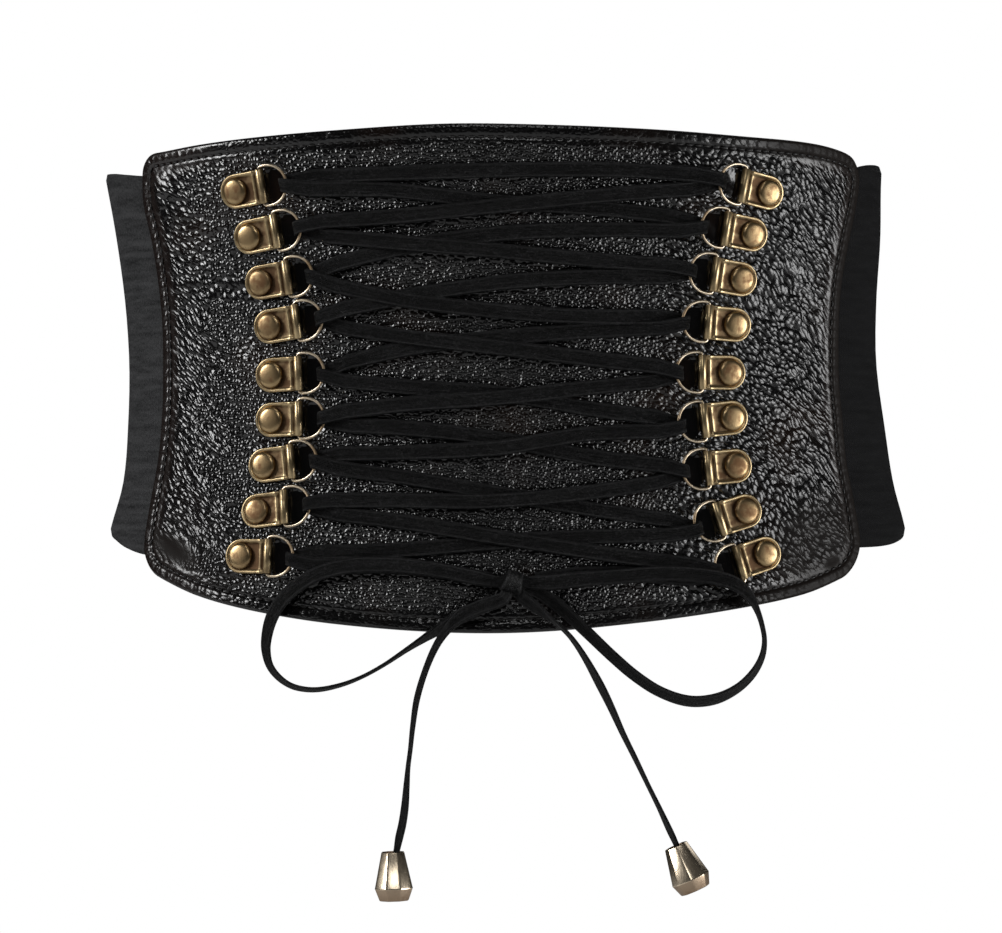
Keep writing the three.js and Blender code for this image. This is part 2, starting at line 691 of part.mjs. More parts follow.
function linePoint({ start, end }, row, f) {
  const bows = [
    { at: 0, bow: 0 },
    { at: 0.25, bow: row.quarter },
    { at: 0.5, bow: row.half },
    { at: 0.75, bow: row.threeQuarter },
    { at: 1, bow: 0 },
  ];
  const x = THREE.MathUtils.lerp(start.x, end.x, f);
  const z = THREE.MathUtils.lerp(start.z, end.z, f) + columnAt(bows, 'at', f, 'bow');
  return new THREE.Vector2(x, z);
}

// How much of the crossing height a strand needs at a point: all of it over a lower one
function crossingShare(point, lowerPoints) {
  const nearest = Math.min(...lowerPoints.map((lower) => lower.distanceTo(point)));
  const touching = lace.width + lace.crossReach;
  return 1 - THREE.MathUtils.smoothstep(nearest, touching, touching + lace.crossSlope);
}

// Stations along the panel from one end of a line to the other
function runStations(line, row, steps, skip, lowerPoints) {
  const sample = (f) => {
    const point = linePoint(line, row, f);
    const rise = row.over ? (lace.crossLift - lace.runLift) * crossingShare(point, lowerPoints) : 0;
    return frontFrame(point.x, point.y, lace.runLift + rise);
  };
  return Array.from({ length: steps + 1 }, (_, n) => {
    const f = THREE.MathUtils.lerp(skip.start, 1 - skip.end, n / steps);
    const { point, outward } = sample(f);
    const ahead = sample(f + 0.01).point.sub(sample(f - 0.01).point).normalize();
    const across = new THREE.Vector3().crossVectors(outward, ahead).normalize();
    if (across.z < 0) across.negate();
    return { point, across, through: outward };
  });
}

// One strand from ring to ring: it leaves under one wire and arrives over the other
function makeStrand(row, groups, lowerPoints) {
  const line = strandLine(row, groups);
  const leaving = foldStations(groups[row.from], line.fromIsUpper, false);
  const arriving = foldStations(groups[row.to], line.toIsUpper, true).reverse();
  const running = runStations(line, row, strandSteps, strandSkip, lowerPoints);
  return bodyThrough(ribbonRings([...leaving, ...running, ...arriving], flatOutline), false);
}

// One of the laced stretch's two ends, from a lowest ring to the knot's side
function makeKnotStrand(group, side, goesOver) {
  const leaving = foldStations(group, false, goesOver);
  const start = ringFront(group);
  start.z += ringLeave.lower;
  const end = new THREE.Vector3(knot.x + side * (knot.width / 2 + knot.reach), 0, knot.z + knot.height / 10);
  const running = runStations({ start, end }, knotStrand, knotStrandSteps, knotStrandSkip, []);
  return bodyThrough(ribbonRings([...leaving, ...running], flatOutline), false);
}

function makeLacing(groups) {
  const lowerPoints = strands
    .filter((row) => !row.over)
    .flatMap((row) => {
      const line = strandLine(row, groups);
      return Array.from({ length: lowerSamples + 1 }, (_, n) => linePoint(line, row, n / lowerSamples));
    });
  const bodies = strands.map((row) => makeStrand(row, groups, lowerPoints));
  bodies.push(makeKnotStrand(groups.left_9, -1, true));
  bodies.push(makeKnotStrand(groups.right_9, 1, false));
  const whole = bodies.map(outwardSolid).reduce((sum, solid) => sum.add(solid));
  return named('lacing', toGeometry(whole), finishes.lace);
}

// A solid from a swept body, turned right side out where its route runs backwards
function outwardSolid(geometry) {
  return toSolid(facingOut(geometry));
}

function facingOut(geometry) {
  const p = geometry.attributes.position;
  const index = geometry.index.array;
  const [a, b, c] = [new THREE.Vector3(), new THREE.Vector3(), new THREE.Vector3()];
  let volume = 0;
  for (let i = 0; i < index.length; i += 3) {
    a.fromBufferAttribute(p, index[i]);
    b.fromBufferAttribute(p, index[i + 1]);
    c.fromBufferAttribute(p, index[i + 2]);
    volume += a.dot(b.cross(c));
  }
  if (volume < 0) {
    for (let i = 0; i < index.length; i += 3) {
      [index[i], index[i + 2]] = [index[i + 2], index[i]];
    }
  }
  return geometry;
}

// A free stretch of lace along its route
function makeFreeLace(name, route) {
  const frames = route.map((row) => frontFrame(row.x, row.z, row.lift));
  const stations = frames.map(({ point, outward }, n) => {
    const before = frames[Math.max(n - 1, 0)].point;
    const after = frames[Math.min(n + 1, frames.length - 1)].point;
    const ahead = after.clone().sub(before).normalize();
    const across = new THREE.Vector3().crossVectors(outward, ahead).normalize();
    across.applyAxisAngle(ahead, degrees(route[n].turn));
    const through = new THREE.Vector3().crossVectors(ahead, across);
    return { point, across, through };
  });
  const geometry = bodyThrough(ribbonRings(stations, roundedOutline), false);
  return named(name, facingOut(geometry), finishes.lace);
}

function makeKnot() {
  const geometry = new THREE.SphereGeometry(0.5, 10, 6);
  geometry.scale(knot.width, knot.depth, knot.height);
  const mesh = named('bow_knot', geometry, finishes.lace);
  const { point } = frontFrame(knot.x, knot.z, knot.lift);
  mesh.position.copy(point);
  return mesh;
}

// A bell-shaped tip hung under the end of its tail
function makeTip(name, place) {
  const profile = [
    new THREE.Vector2(0, 0),
    new THREE.Vector2(tip.topRadius, 0),
    new THREE.Vector2(tip.widestRadius, tip.widestDrop),
    new THREE.Vector2(tip.bottomRadius, tip.length),
    new THREE.Vector2(0, tip.length),
  ];
  // The profile runs down, and half a facet's turn brings a flat to the front
  const geometry = new THREE.LatheGeometry(profile, tip.sides);
  geometry.rotateY(Math.PI / tip.sides + degrees(place.turn));
  geometry.rotateX(-Math.PI / 2);
  geometry.rotateY(-degrees(place.lean));
  const mesh = named(name, facingOut(geometry), finishes.paleBrass);
  mesh.position.copy(frontFrame(place.x, place.z, place.lift).point);
  return mesh;
}

// The assembly

const belt = new THREE.Group();
belt.add(makePanel());
belt.add(makeElastic('left', -1), makeElastic('right', 1), makePlacket());

const tabGeometry = makeTabGeometry();
const ringGeometry = facingOut(makeRingGeometry());
const tabGroups = {};
for (const [sideName, direction, rows] of [
  ['left', -1, leftTabs],
  ['right', 1, rightTabs],
]) {
  rows.forEach((row, n) => {
    const number = n + 1;
    const group = placeTab(row, direction);
    group.add(named(`tab_${sideName}_${number}`, tabGeometry, finishes.brass));
    group.add(named(`ring_${sideName}_${number}`, ringGeometry, finishes.brass));
    tabGroups[`${sideName}_${number}`] = group;
    belt.add(group);
  });
}

belt.add(makeLacing(tabGroups));
belt.add(makeKnot());
belt.add(makeFreeLace('bow_loop_left', leftLoopRoute));
belt.add(makeFreeLace('bow_loop_right', rightLoopRoute));
belt.add(makeFreeLace('lace_tail_left', leftTailRoute));
belt.add(makeFreeLace('lace_tail_right', rightTailRoute));
belt.add(makeTip('lace_tip_left', leftTip));
belt.add(makeTip('lace_tip_right', rightTip));

export default belt;
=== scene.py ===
# Dresses a wide cinch belt: grained leather panel, ribbed elastic wings, riveted
# brass tabs with D-rings, and a flat woven lace tied in a bow.
# Lengths are in millimetres and angles in degrees, and meshes are made in metres.

import math

import bpy
import numpy as np
from mathutils import Matrix, Vector
from mathutils.kdtree import KDTree


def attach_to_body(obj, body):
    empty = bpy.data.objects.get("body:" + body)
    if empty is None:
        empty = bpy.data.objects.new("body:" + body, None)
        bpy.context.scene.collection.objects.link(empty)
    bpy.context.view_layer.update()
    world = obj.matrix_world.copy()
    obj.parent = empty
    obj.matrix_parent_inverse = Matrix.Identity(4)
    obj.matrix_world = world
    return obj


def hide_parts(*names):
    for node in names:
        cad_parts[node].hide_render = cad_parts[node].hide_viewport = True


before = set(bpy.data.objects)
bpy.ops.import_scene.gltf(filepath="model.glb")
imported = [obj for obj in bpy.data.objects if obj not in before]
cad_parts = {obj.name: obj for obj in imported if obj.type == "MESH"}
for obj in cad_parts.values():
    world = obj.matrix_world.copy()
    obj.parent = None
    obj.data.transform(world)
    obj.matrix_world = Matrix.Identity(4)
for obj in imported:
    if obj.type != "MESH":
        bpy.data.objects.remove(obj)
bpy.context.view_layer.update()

mm = 0.001


def say(text):
    print("belt:", text)


# A table's rows as dictionaries, by the names of its columns
def tableOf(names, rows):
    return [dict(zip(names.split(), row)) for row in rows]


# The belt's sizes, the same as the solids'

gap = 0.3
leatherThickness = 2
elasticThickness = 1.5
panelLift = gap + leatherThickness

# The waist's plan: half widths and half depth of the elastic's outer face by height
waistSections = tableOf("z left right depth", [
    (85, 134.5, 127, 89.5),
    (67, 131.5, 126, 88),
    (47, 128, 125.8, 86.7),
    (27, 125.2, 124.6, 85.9),
    (7, 123.7, 124.4, 85.7),
    (-13, 124, 126.8, 85.7),
    (-33, 125.7, 129.8, 86.3),
    (-50, 130.2, 134.2, 87.7),
    (-85, 136, 140, 89.5),
])

# The panel's side edges, as distances from the middle seen from the front
panelSides = tableOf("z left right", [
    (72, 116.5, 117),
    (58, 116.5, 115.5),
    (45, 113.7, 112.7),
    (32, 111.6, 110.3),
    (19, 110.3, 109.3),
    (0, 110, 109.3),
    (-13, 110.4, 110.4),
    (-26, 111.7, 111.6),
    (-39, 114, 114),
    (-52, 116, 116),
    (-65, 117, 116.5),
])

# Its top and bottom edges
panelHeights = tableOf("x top bottom", [
    (-116, 72.8, -60.5),
    (-105, 73.5, -64.5),
    (-90, 75, -69.5),
    (-70, 76.6, -74),
    (-45, 78.2, -77.8),
    (-15, 79.8, -80.2),
    (10, 79.5, -80),
    (40, 78.4, -77),
    (65, 77, -73.5),
    (90, 75.8, -69),
    (105, 73.8, -64.5),
    (116, 70.5, -60.5),
])
panelHalfWidth = 116
panelHalfAngle = 60
sideRadius = 100  # of the waist near the panel's sides
panelCorners = {"topLeft": 6, "topRight": 7, "bottomLeft": 8, "bottomRight": 9}

# The elastic's edges by the angle round the waist from the front
elasticHeights = tableOf("angle leftTop leftBottom rightTop rightBottom", [
    (50, 66, -57, 66, -54),
    (62, 66, -56.5, 67.5, -54),
    (70, 67, -54.5, 70, -53.5),
    (78, 68, -52, 71, -52),
    (90, 68.5, -50, 70.5, -49.5),
    (110, 66, -48.5, 67, -48.5),
    (140, 63, -47.5, 63.5, -47.5),
    (180, 62, -47, 62, -47),
])

# The tabs: the rivet's place seen from the front, and how far the ring's end points up
leftTabs = tableOf("x z tilt", [
    (-84.3, 59.5, 8),
    (-80, 45, 9),
    (-76.35, 30.5, 8),
    (-73.5, 16.5, 8),
    (-73, 1, 3),
    (-72.95, -13.2, 2),
    (-75.3, -27.7, 7),
    (-77.55, -42.2, 7),
    (-82.6, -56.5, 0),
])
rightTabs = tableOf("x z tilt", [
    (84.55, 59.2, 11),
    (79.25, 45.8, 9),
    (75.8, 31.5, 8),
    (73.85, 17, 4),
    (72, 1.8, 0),
    (72.7, -12.5, -6),
    (73.95, -27.8, -5),
    (77, -42.2, -15),
    (83.3, -55.7, -16),
])

# The strands from ring to ring, how far each bows upwards, and whether it crosses
# over the one that it meets half way
strands = tableOf("from to bows over", [
    ("left_9", "right_8", (-0.6, 0.5, 0.8), False),
    ("right_8", "left_7", (-0.6, 0, 0.5), False),
    ("left_7", "right_6", (-1.3, -1.7, 0.9), True),
    ("right_6", "left_5", (0.2, 1.6, 0.5), False),
    ("left_5", "right_4", (3.1, 3, 2), False),
    ("right_4", "left_3", (-3.2, -4.2, -3.5), True),
    ("left_3", "right_2", (3.9, 5, 3.1), False),
    ("right_2", "left_1", (0.8, 0.3, 1.7), False),
    ("left_1", "right_1", (0.8, 1.4, 1.5), False),
    ("right_1", "left_2", (0, -0.6, -1.1), True),
    ("left_2", "right_3", (-0.5, -0.6, -0.9), True),
    ("right_3", "left_4", (2.8, 3.9, 2.7), False),
    ("left_4", "right_5", (-0.7, -0.5, -0.4), True),
    ("right_5", "left_6", (0, -0.5, 0.4), True),
    ("left_6", "right_7", (2.1, 1.9, -0.2), False),
    ("right_7", "left_8", (-2.6, -3.6, -1.8), True),
    ("left_8", "right_9", (0.8, 0, -0.5), True),
])

# Free stretches of the lace, seen from the front, with the height above the panel
# and the turn of its flat face away from the front
leftLoopRoute = tableOf("x z lift turn", [
    (-3.1, -63.8, 3.9, 10),
    (-10, -62.4, 3.2, 0),
    (-22.6, -60, 2.9, 0),
    (-34.8, -58.8, 2.9, 0),
    (-47.1, -59.1, 2.9, 2),
    (-57.3, -61.5, 2.8, 5),
    (-63.7, -65, 2.8, 7),
    (-67.8, -68.4, 2.8, 10),
    (-71, -72.4, 3, 12),
    (-73, -76.5, 3.2, 17),
    (-74.2, -81.2, 3.4, 25),
    (-74.5, -85.9, 3.6, 33),
    (-73.2, -91, 3.6, 44),
    (-69.8, -95, 3.6, 55),
    (-65.2, -97.5, 3.6, 66),
    (-58.5, -98.2, 3.6, 76),
    (-50.9, -96.7, 3.4, 83),
    (-43.9, -94, 3.3, 88),
    (-37, -90.2, 3.3, 88),
    (-30.1, -85.6, 3.3, 82),
    (-24.4, -81.9, 3.2, 70),
    (-19.4, -78.8, 2.8, 49),
    (-14.4, -75.8, 2, 22),
    (-9.4, -73.3, 1.5, 9),
    (-4.7, -70.8, 1.5, 5),
])
rightLoopRoute = tableOf("x z lift turn", [
    (10, -66.8, 2.4, 15),
    (14.4, -69.2, 2.6, 22),
    (20.1, -73.7, 3.4, 39),
    (27.6, -80.8, 4, 50),
    (34.5, -87.4, 4, 54),
    (41.7, -93.6, 4, 56),
    (49.6, -98.7, 4, 54),
    (58.5, -101.7, 4, 47),
    (66.8, -101.3, 4, 42),
    (73.8, -98.3, 4, 44),
    (79, -93.7, 4, 43),
    (82.1, -88.4, 4.2, 46),
    (83, -83.2, 4.4, 51),
    (82.2, -78.1, 4.6, 51),
    (80.6, -73.3, 4.9, 47),
    (78.2, -68.9, 5.2, 32),
    (73.8, -65.1, 5.4, 14),
    (65.5, -62.6, 5, 4),
    (52.2, -61.6, 3.4, 0),
    (38.3, -62.4, 3, 0),
    (25.7, -63.3, 3, 0),
    (15.7, -64.2, 3.4, 0),
    (10, -64.3, 4, 5),
])
leftTailRoute = tableOf("x z lift turn", [
    (0.4, -69.3, 4.8, 16),
    (-6.6, -71.8, 5.4, 20),
    (-12.5, -74.5, 6.5, 32),
    (-16.8, -78.6, 7.5, 54),
    (-20.4, -83.7, 7.2, 62),
    (-23.8, -91.4, 6, 67),
    (-26.6, -100.7, 5.2, 66),
    (-27.9, -109.2, 4.7, 69),
    (-28.7, -116.7, 4.3, 72),
    (-29.4, -122.1, 4, 71),
    (-29.9, -128.4, 4, 64),
    (-30.4, -134.6, 4, 58),
    (-31.2, -140, 4, 56),
    (-32.2, -144.3, 4, 56),
    (-32.9, -147.9, 4, 57),
])
rightTailRoute = tableOf("x z lift turn", [
    (6.3, -68.8, 4.8, 30),
    (10.9, -72.2, 5.8, 50),
    (15.5, -75.8, 6.8, 78),
    (19.1, -78.8, 6.8, 84),
    (22.2, -82.2, 6, 83),
    (26.2, -88.2, 5.2, 77),
    (30.7, -96.4, 4.8, 71),
    (34.1, -103.3, 4.4, 76),
    (37.8, -111.5, 4.2, 83),
    (42, -120, 4, 87),
    (45.8, -127.9, 4, 91),
    (49.4, -135.2, 4, 90),
    (51.9, -140.6, 4, 86),
    (54.5, -146.2, 4, 84),
])


# Curves through the rows of a table, and the waist's surface

def curveThrough(at, values, wanted):
    at = np.asarray(at, float)
    values = np.asarray(values, float)
    wanted = np.clip(wanted, at[0], at[-1])
    slopes = np.empty_like(values)
    spans = (at[2:] - at[:-2]).reshape((-1,) + (1,) * (values.ndim - 1))
    slopes[1:-1] = (values[2:] - values[:-2]) / spans
    slopes[0] = (values[1] - values[0]) / (at[1] - at[0])
    slopes[-1] = (values[-1] - values[-2]) / (at[-1] - at[-2])
    i = np.clip(np.searchsorted(at, wanted, side="right") - 1, 0, len(at) - 2)
    step = at[i + 1] - at[i]
    f = (wanted - at[i]) / step
    if values.ndim > 1:
        step = step[..., None]
        f = f[..., None]
    bend = f * f * (3 - 2 * f)
    swing = step * f * (1 - f) * (slopes[i] * (1 - f) - slopes[i + 1] * f)
    return values[i] * (1 - bend) + values[i + 1] * bend + swing


def readTable(table, key, column, wanted):
    rows = sorted(table, key=lambda row: row[key])
    return curveThrough([row[key] for row in rows], [row[column] for row in rows], wanted)


def smoothStep(value, low, high):
    f = np.clip((value - low) / (high - low), 0, 1)
    return f * f * (3 - 2 * f)


def unit(vectors):
    return vectors / np.maximum(np.linalg.norm(vectors, axis=-1, keepdims=True), 1e-9)


# The table's left column where the side is below zero, and its right one elsewhere
def bySide(side, table, z):
    return np.where(side < 0, readTable(table, "z", "left", z), readTable(table, "z", "right", z))


def waistPoint(angle, z):
    half = bySide(angle, waistSections, z)
    depth = readTable(waistSections, "z", "depth", z)
    return np.stack([half * np.sin(angle), -depth * np.cos(angle), z + 0 * angle], axis=-1)


# The waist's point at a lift off the elastic's outer face, and its three directions
def waistFrame(angle, z, lift):
    along = unit(waistPoint(angle + 0.01, z) - waistPoint(angle - 0.01, z))
    up = unit(waistPoint(angle, z + 1) - waistPoint(angle, z - 1))
    outward = unit(np.cross(along, up))
    point = waistPoint(angle, z) + outward * np.asarray(lift, float)[..., None]
    return point, along, up, outward


def angleAt(x, z, lift):
    return np.arcsin(np.clip(x / (bySide(x, waistSections, z) + lift), -1, 1))


# The frame at x and z seen from the front, at a height over the panel's outer face
def frontFrame(x, z, height):
    x = np.asarray(x, float)
    z = np.asarray(z, float)
    lift = panelLift + np.asarray(height, float) + 0 * x
    baseX = x.copy()
    baseZ = z.copy()
    for _ in range(4):
        point = waistFrame(angleAt(baseX, baseZ, 0), baseZ, lift)[0]
        baseX = baseX + x - point[..., 0]
        baseZ = baseZ + z - point[..., 2]
    return waistFrame(angleAt(baseX, baseZ, 0), baseZ, lift)


# Meshes

def makeMesh(name, points, faces, attributes=None, smooth=True):
    mesh = bpy.data.meshes.new(name)
    mesh.from_pydata((np.asarray(points) * mm).tolist(), [], [list(face) for face in faces])
    for label, values in (attributes or {}).items():
        kind = "FLOAT_VECTOR" if np.ndim(values) > 1 else "FLOAT"
        layer = mesh.attributes.new(label, kind, "POINT")
        field = "vector" if kind == "FLOAT_VECTOR" else "value"
        layer.data.foreach_set(field, np.asarray(values, np.float32).ravel())
    mesh.update()
    if smooth:
        mesh.shade_smooth()
    else:
        mesh.shade_flat()
    return newObject(name, mesh)


def newObject(name, data):
    thing = bpy.data.objects.new(name, data)
    bpy.context.scene.collection.objects.link(thing)
    return thing


# A closed mesh's faces, turned round if they look inwards
def facingOut(points, faces):
    volume = 0
    for face in faces:
        for k in range(1, len(face) - 1):
            volume += np.dot(points[face[0]], np.cross(points[face[k]], points[face[k + 1]]))
    return faces if volume > 0 else [face[::-1] for face in faces]


def gridFaces(columns, rows, start=0, turned=False):
    c, r = np.meshgrid(np.arange(columns - 1), np.arange(rows - 1), indexing="ij")
    a = (start + c * rows + r).ravel()
    quads = np.stack([a, a + rows, a + rows + 1, a + 1], axis=-1)
    return quads[:, ::-1] if turned else quads


# The points round a grid's rim, in order
def gridRim(columns, rows):
    return np.concatenate([
        np.arange(columns) * rows,
        (columns - 1) * rows + np.arange(1, rows),
        np.arange(columns - 2, -1, -1) * rows + rows - 1,
        np.arange(rows - 2, 0, -1),
    ])


# Faces of a wall between two grids of the same size, closed round the rim
def wallFaces(columns, rows):
    inner = columns * rows
    rim = gridRim(columns, rows)
    following = np.roll(rim, -1)
    sides = np.stack([rim, rim + inner, following + inner, following], axis=-1)
    return np.concatenate([
        gridFaces(columns, rows),
        gridFaces(columns, rows, inner, turned=True),
        sides,
    ]).tolist()


# A wall's values, the same on its outer points and on the inner ones behind them
def onBothFaces(**values):
    return {name: np.concatenate([value, value]) for name, value in values.items()}


# How far a wall's face falls away in a round edge
def edgeFall(distance, radius):
    inside = np.clip(distance / radius, 0, 1)
    return (np.sqrt(1 - (1 - inside) ** 2) - 1) * radius


# Faces between rings of points, each with the same count
def tubeFaces(rings, count, start=0, isLoop=False):
    faces = []
    for i in range(rings if isLoop else rings - 1):
        a = start + i * count
        b = start + ((i + 1) % rings) * count
        faces += [(a + k, a + (k + 1) % count, b + (k + 1) % count, b + k) for k in range(count)]
    return faces


# The same with a flat end on the first ring and on the last
def closedTube(rings, count):
    ends = [tuple(range(count))[::-1], tuple(range((rings - 1) * count, rings * count))]
    return tubeFaces(rings, count) + ends


# Angles that divide a full turn evenly
def roundTurns(count):
    return np.arange(count) * 2 * np.pi / count


# Distances from a point to an outline and along it, in a flat plane
def nearestOnOutline(points, outline):
    ends = np.roll(outline, -1, axis=0)
    spans = ends - outline
    lengths = np.linalg.norm(spans, axis=1)
    starts = np.concatenate([[0], np.cumsum(lengths)[:-1]])
    distance = np.empty(len(points))
    place = np.empty(len(points))
    for first in range(0, len(points), 2000):
        some = points[first:first + 2000]
        off = some[:, None] - outline[None]
        f = np.clip((off * spans).sum(-1) / np.maximum(lengths ** 2, 1e-9), 0, 1)
        far = np.linalg.norm(off - f[..., None] * spans, axis=-1)
        best = far.argmin(axis=1)
        rows = np.arange(len(some))
        distance[first:first + 2000] = far[rows, best]
        place[first:first + 2000] = starts[best] + f[rows, best] * lengths[best]
    return distance, place, lengths.sum()


# Smooth noise on a flat plane, the same every run
def softNoise(u, v, size, seed):
    table = np.random.default_rng(seed).uniform(-1, 1, (64, 64))
    x = u / size + 64000
    y = v / size + 64000
    i = np.floor(x).astype(int)
    j = np.floor(y).astype(int)
    fx = smoothStep(x - i, 0, 1)
    fy = smoothStep(y - j, 0, 1)
    near = table[i % 64, j % 64] * (1 - fx) + table[(i + 1) % 64, j % 64] * fx
    far = table[i % 64, (j + 1) % 64] * (1 - fx) + table[(i + 1) % 64, (j + 1) % 64] * fx
    return near * (1 - fy) + far * fy


# Shader and geometry trees

class Wire:
    def __init__(self, tree, socket=None):
        self.tree = tree
        self.socket = socket

    def node(self, kind, settings=None, sockets=None, output=0):
        made = self.tree.nodes.new(kind)
        for name, value in (settings or {}).items():
            setattr(made, name, value)
        for name, value in (sockets or {}).items():
            target = made.inputs[name]
            if isinstance(value, Wire):
                self.tree.links.new(value.socket, target)
            else:
                target.default_value = value
        return Wire(self.tree, made.outputs[output])

    def maths(self, operation, first, second=0.0):
        return self.node("ShaderNodeMath", {"operation": operation}, {0: first, 1: second})

    def __add__(self, other):
        return self.maths("ADD", self, other)

    __radd__ = __add__

    def __sub__(self, other):
        return self.maths("SUBTRACT", self, other)

    def __rsub__(self, other):
        return self.maths("SUBTRACT", other, self)

    def __mul__(self, other):
        return self.maths("MULTIPLY", self, other)

    __rmul__ = __mul__

    def __truediv__(self, other):
        return self.maths("DIVIDE", self, other)

    # A sine wave along the value, one turn in each length
    def beat(self, length):
        return self.maths("SINE", self * (2 * math.pi / length))

    def between(self, low, high):
        settings = {"interpolation_type": "SMOOTHSTEP"}
        return self.node("ShaderNodeMapRange", settings, {0: self, 1: low, 2: high})

    def scaled(self, factors):
        return self.node("ShaderNodeVectorMath", {"operation": "MULTIPLY"}, {0: self, 1: factors})

    def moved(self, other):
        return self.node("ShaderNodeVectorMath", {"operation": "ADD"}, {0: self, 1: other})

    def turned(self, degrees):
        sockets = {"Vector": self, "Angle": math.radians(degrees)}
        return self.node("ShaderNodeVectorRotate", {"rotation_type": "Z_AXIS"}, sockets)

    def bell(self, middle, width):
        off = (self - middle) / width
        return self.maths("EXPONENT", off * off * -1)

    def part(self, axis):
        return self.node("ShaderNodeSeparateXYZ", None, {0: self}, output=axis)

    def noise(self, scale, detail=2.0, output=0):
        sockets = {"Vector": self, "Scale": scale, "Detail": detail}
        return self.node("ShaderNodeTexNoise", None, sockets, output)

    def cells(self, scale, randomness):
        sockets = {"Vector": self, "Scale": scale, "Randomness": randomness}
        return self.node("ShaderNodeTexVoronoi", {"feature": "F1"}, sockets)

    def tint(self, first, second):
        sockets = {0: self, 6: first if isinstance(first, Wire) else (*first, 1), 7: (*second, 1)}
        return self.node("ShaderNodeMix", {"data_type": "RGBA"}, sockets, output=2)

    def vectorFrom(self, name):
        return self.node("ShaderNodeAttribute", {"attribute_name": name}, output=1)

    def valueFrom(self, name):
        return self.node("ShaderNodeAttribute", {"attribute_name": name}, output=2)


def newMaterial(name, look):
    material = bpy.data.materials.new(name)
    material.use_nodes = True
    tree = material.node_tree
    shader = tree.nodes["Principled BSDF"]
    for socket, value in look.items():
        shader.inputs[socket].default_value = value
    return material, Wire(tree), shader


def attach(tree, shader, **wires):
    for name, wire in wires.items():
        tree.links.new(wire.socket, shader.inputs[name.replace("_", " ")])


# Shows a share of the surface by a plain shader with hardly any shine
def mixPlain(shader, share, look):
    sockets = {
        "Base Color": (*look["plain"], 1),
        "Roughness": look["plainRoughness"],
        "Specular IOR Level": look["plainShine"],
    }
    plain = share.node("ShaderNodeBsdfPrincipled", None, sockets)
    main = Wire(share.tree, shader.outputs[0])
    mixed = share.node("ShaderNodeMixShader", None, {0: share, 1: main, 2: plain})
    share.tree.links.new(mixed.socket, share.tree.nodes["Material Output"].inputs["Surface"])


def bumped(height, distance):
    return height.node("ShaderNodeBump", None, {"Height": height, "Distance": distance * mm, "Strength": 1.0})


# Materials

leatherLook = {
    "pebble": 1.5,  # millimetres from grain to grain at the sides
    "finePebble": 1.3,  # and in the middle of the front
    "crumb": 0.9,  # the small grain on top of both
    "wrinkleTurn": -38,  # degrees that the side ridges run down to the right
    "depth": 0.42,
    "black": (0.0026, 0.0024, 0.0026),
    "brownBlack": (0.016, 0.008, 0.0045),
    "seamBrown": (0.012, 0.0072, 0.0058),
    # the plain shader's colour, which also paints shade on the right hem
    "plain": (0.009, 0.0062, 0.0048),
    "plainRoughness": 0.6,
    "plainShine": 0.12,
}


# Round grains as low domes, from each one's middle down to its creases
def domes(spot, size, randomness):
    far = spot.cells(1 / size, randomness)
    return 1 - far * far * 1.7


def makeLeather():
    look = leatherLook
    material, start, shader = newMaterial("grainedLeather", {"IOR": 1.6, "Specular IOR Level": 0.55})
    skin = start.vectorFrom("skin")
    side = start.valueFrom("side")
    hem = start.valueFrom("hem")
    seam = start.vectorFrom("seam")
    quiet = start.valueFrom("quiet")
    smooth = start.valueFrom("smooth")
    dull = start.valueFrom("dull")
    warp = skin.noise(0.22, 1, output=1).moved((-0.5, -0.5, -0.5)).scaled((1.4, 1.4, 0))
    spot = skin.moved(warp)
    bend = skin.noise(0.03, 1, output=1).moved((-0.5, -0.5, -0.5)).scaled((0, 12, 0))
    ridgeSpot = spot.moved(bend).turned(-look["wrinkleTurn"])
    right = skin.part(0).between(20, 60)
    # Dots near the tabs, short strokes in patches, and long ones by the side seams
    dots = domes(spot, look["pebble"], 0.85)
    strokes = domes(ridgeSpot.scaled((0.6, 0.92, 1)), look["pebble"], 0.9)
    combed = domes(ridgeSpot.scaled((0.46, 0.98, 1)), look["pebble"], 0.9)
    drift = skin.noise(0.06, 1) - 0.5
    byStroke = (side + drift * 0.9 + 0.35 * right).between(0.74, 0.79)
    bySeam = (side + drift * 0.35).between(0.83, 0.86)
    grain = dots * (1 - byStroke) + strokes * byStroke
    grain = grain * (1 - bySeam) + combed * bySeam
    coarse = side.between(0.36, 0.42)
    fine = domes(spot, look["finePebble"], 0.8) * 0.85
    grain = grain * coarse * (1 + 0.2 * right) + fine * (1 - coarse)
    grain = grain * (0.85 + 0.3 * skin.noise(0.12, 2)) + 0.08 * domes(spot, look["crumb"], 1)
    folds = skin.turned(-look["wrinkleTurn"]).scaled((0.3, 1, 1)).noise(0.22, 3)
    pores = skin.noise(2.6, 2)
    # Leather gathered between the stitches, on both sides of the seam
    beat = 0.5 + 0.5 * seam.part(0).beat(1)
    edge = seam.part(1)
    bulges = 0.2 * edge.bell(5.4, 0.7) + side.between(0.72, 0.9) * edge.bell(2.4, 1.3)
    gathers = beat * bulges * skin.noise(0.2, 2).between(0.25, 0.75)
    inSeam = edge.bell(5.3, 1.0)
    plain = (1 - 0.7 * hem) * (1 - 0.6 * inSeam) * (1 - 0.7 * smooth)
    height = grain * plain + 0.06 * pores + folds * 0.8 + gathers
    height = height * (1 - 0.95 * quiet)
    worn = skin.noise(0.4, 3)
    rough = 0.1 + 0.12 * worn + 0.05 * (1 - grain) + 0.05 * right + 0.08 * smooth
    warmth = skin.noise(0.03, 2).between(0.5, 0.75) * 0.7
    black = warmth.tint(look["black"], look["brownBlack"])
    attach(start.tree, shader, Base_Color=smooth.tint(black, look["seamBrown"]),
           Roughness=rough * (1 - 0.5 * quiet), Normal=bumped(height, look["depth"]))
    # The plain dark shader covers the patches, and the right hem as painted shade
    mixPlain(shader, dull, look)
    return material


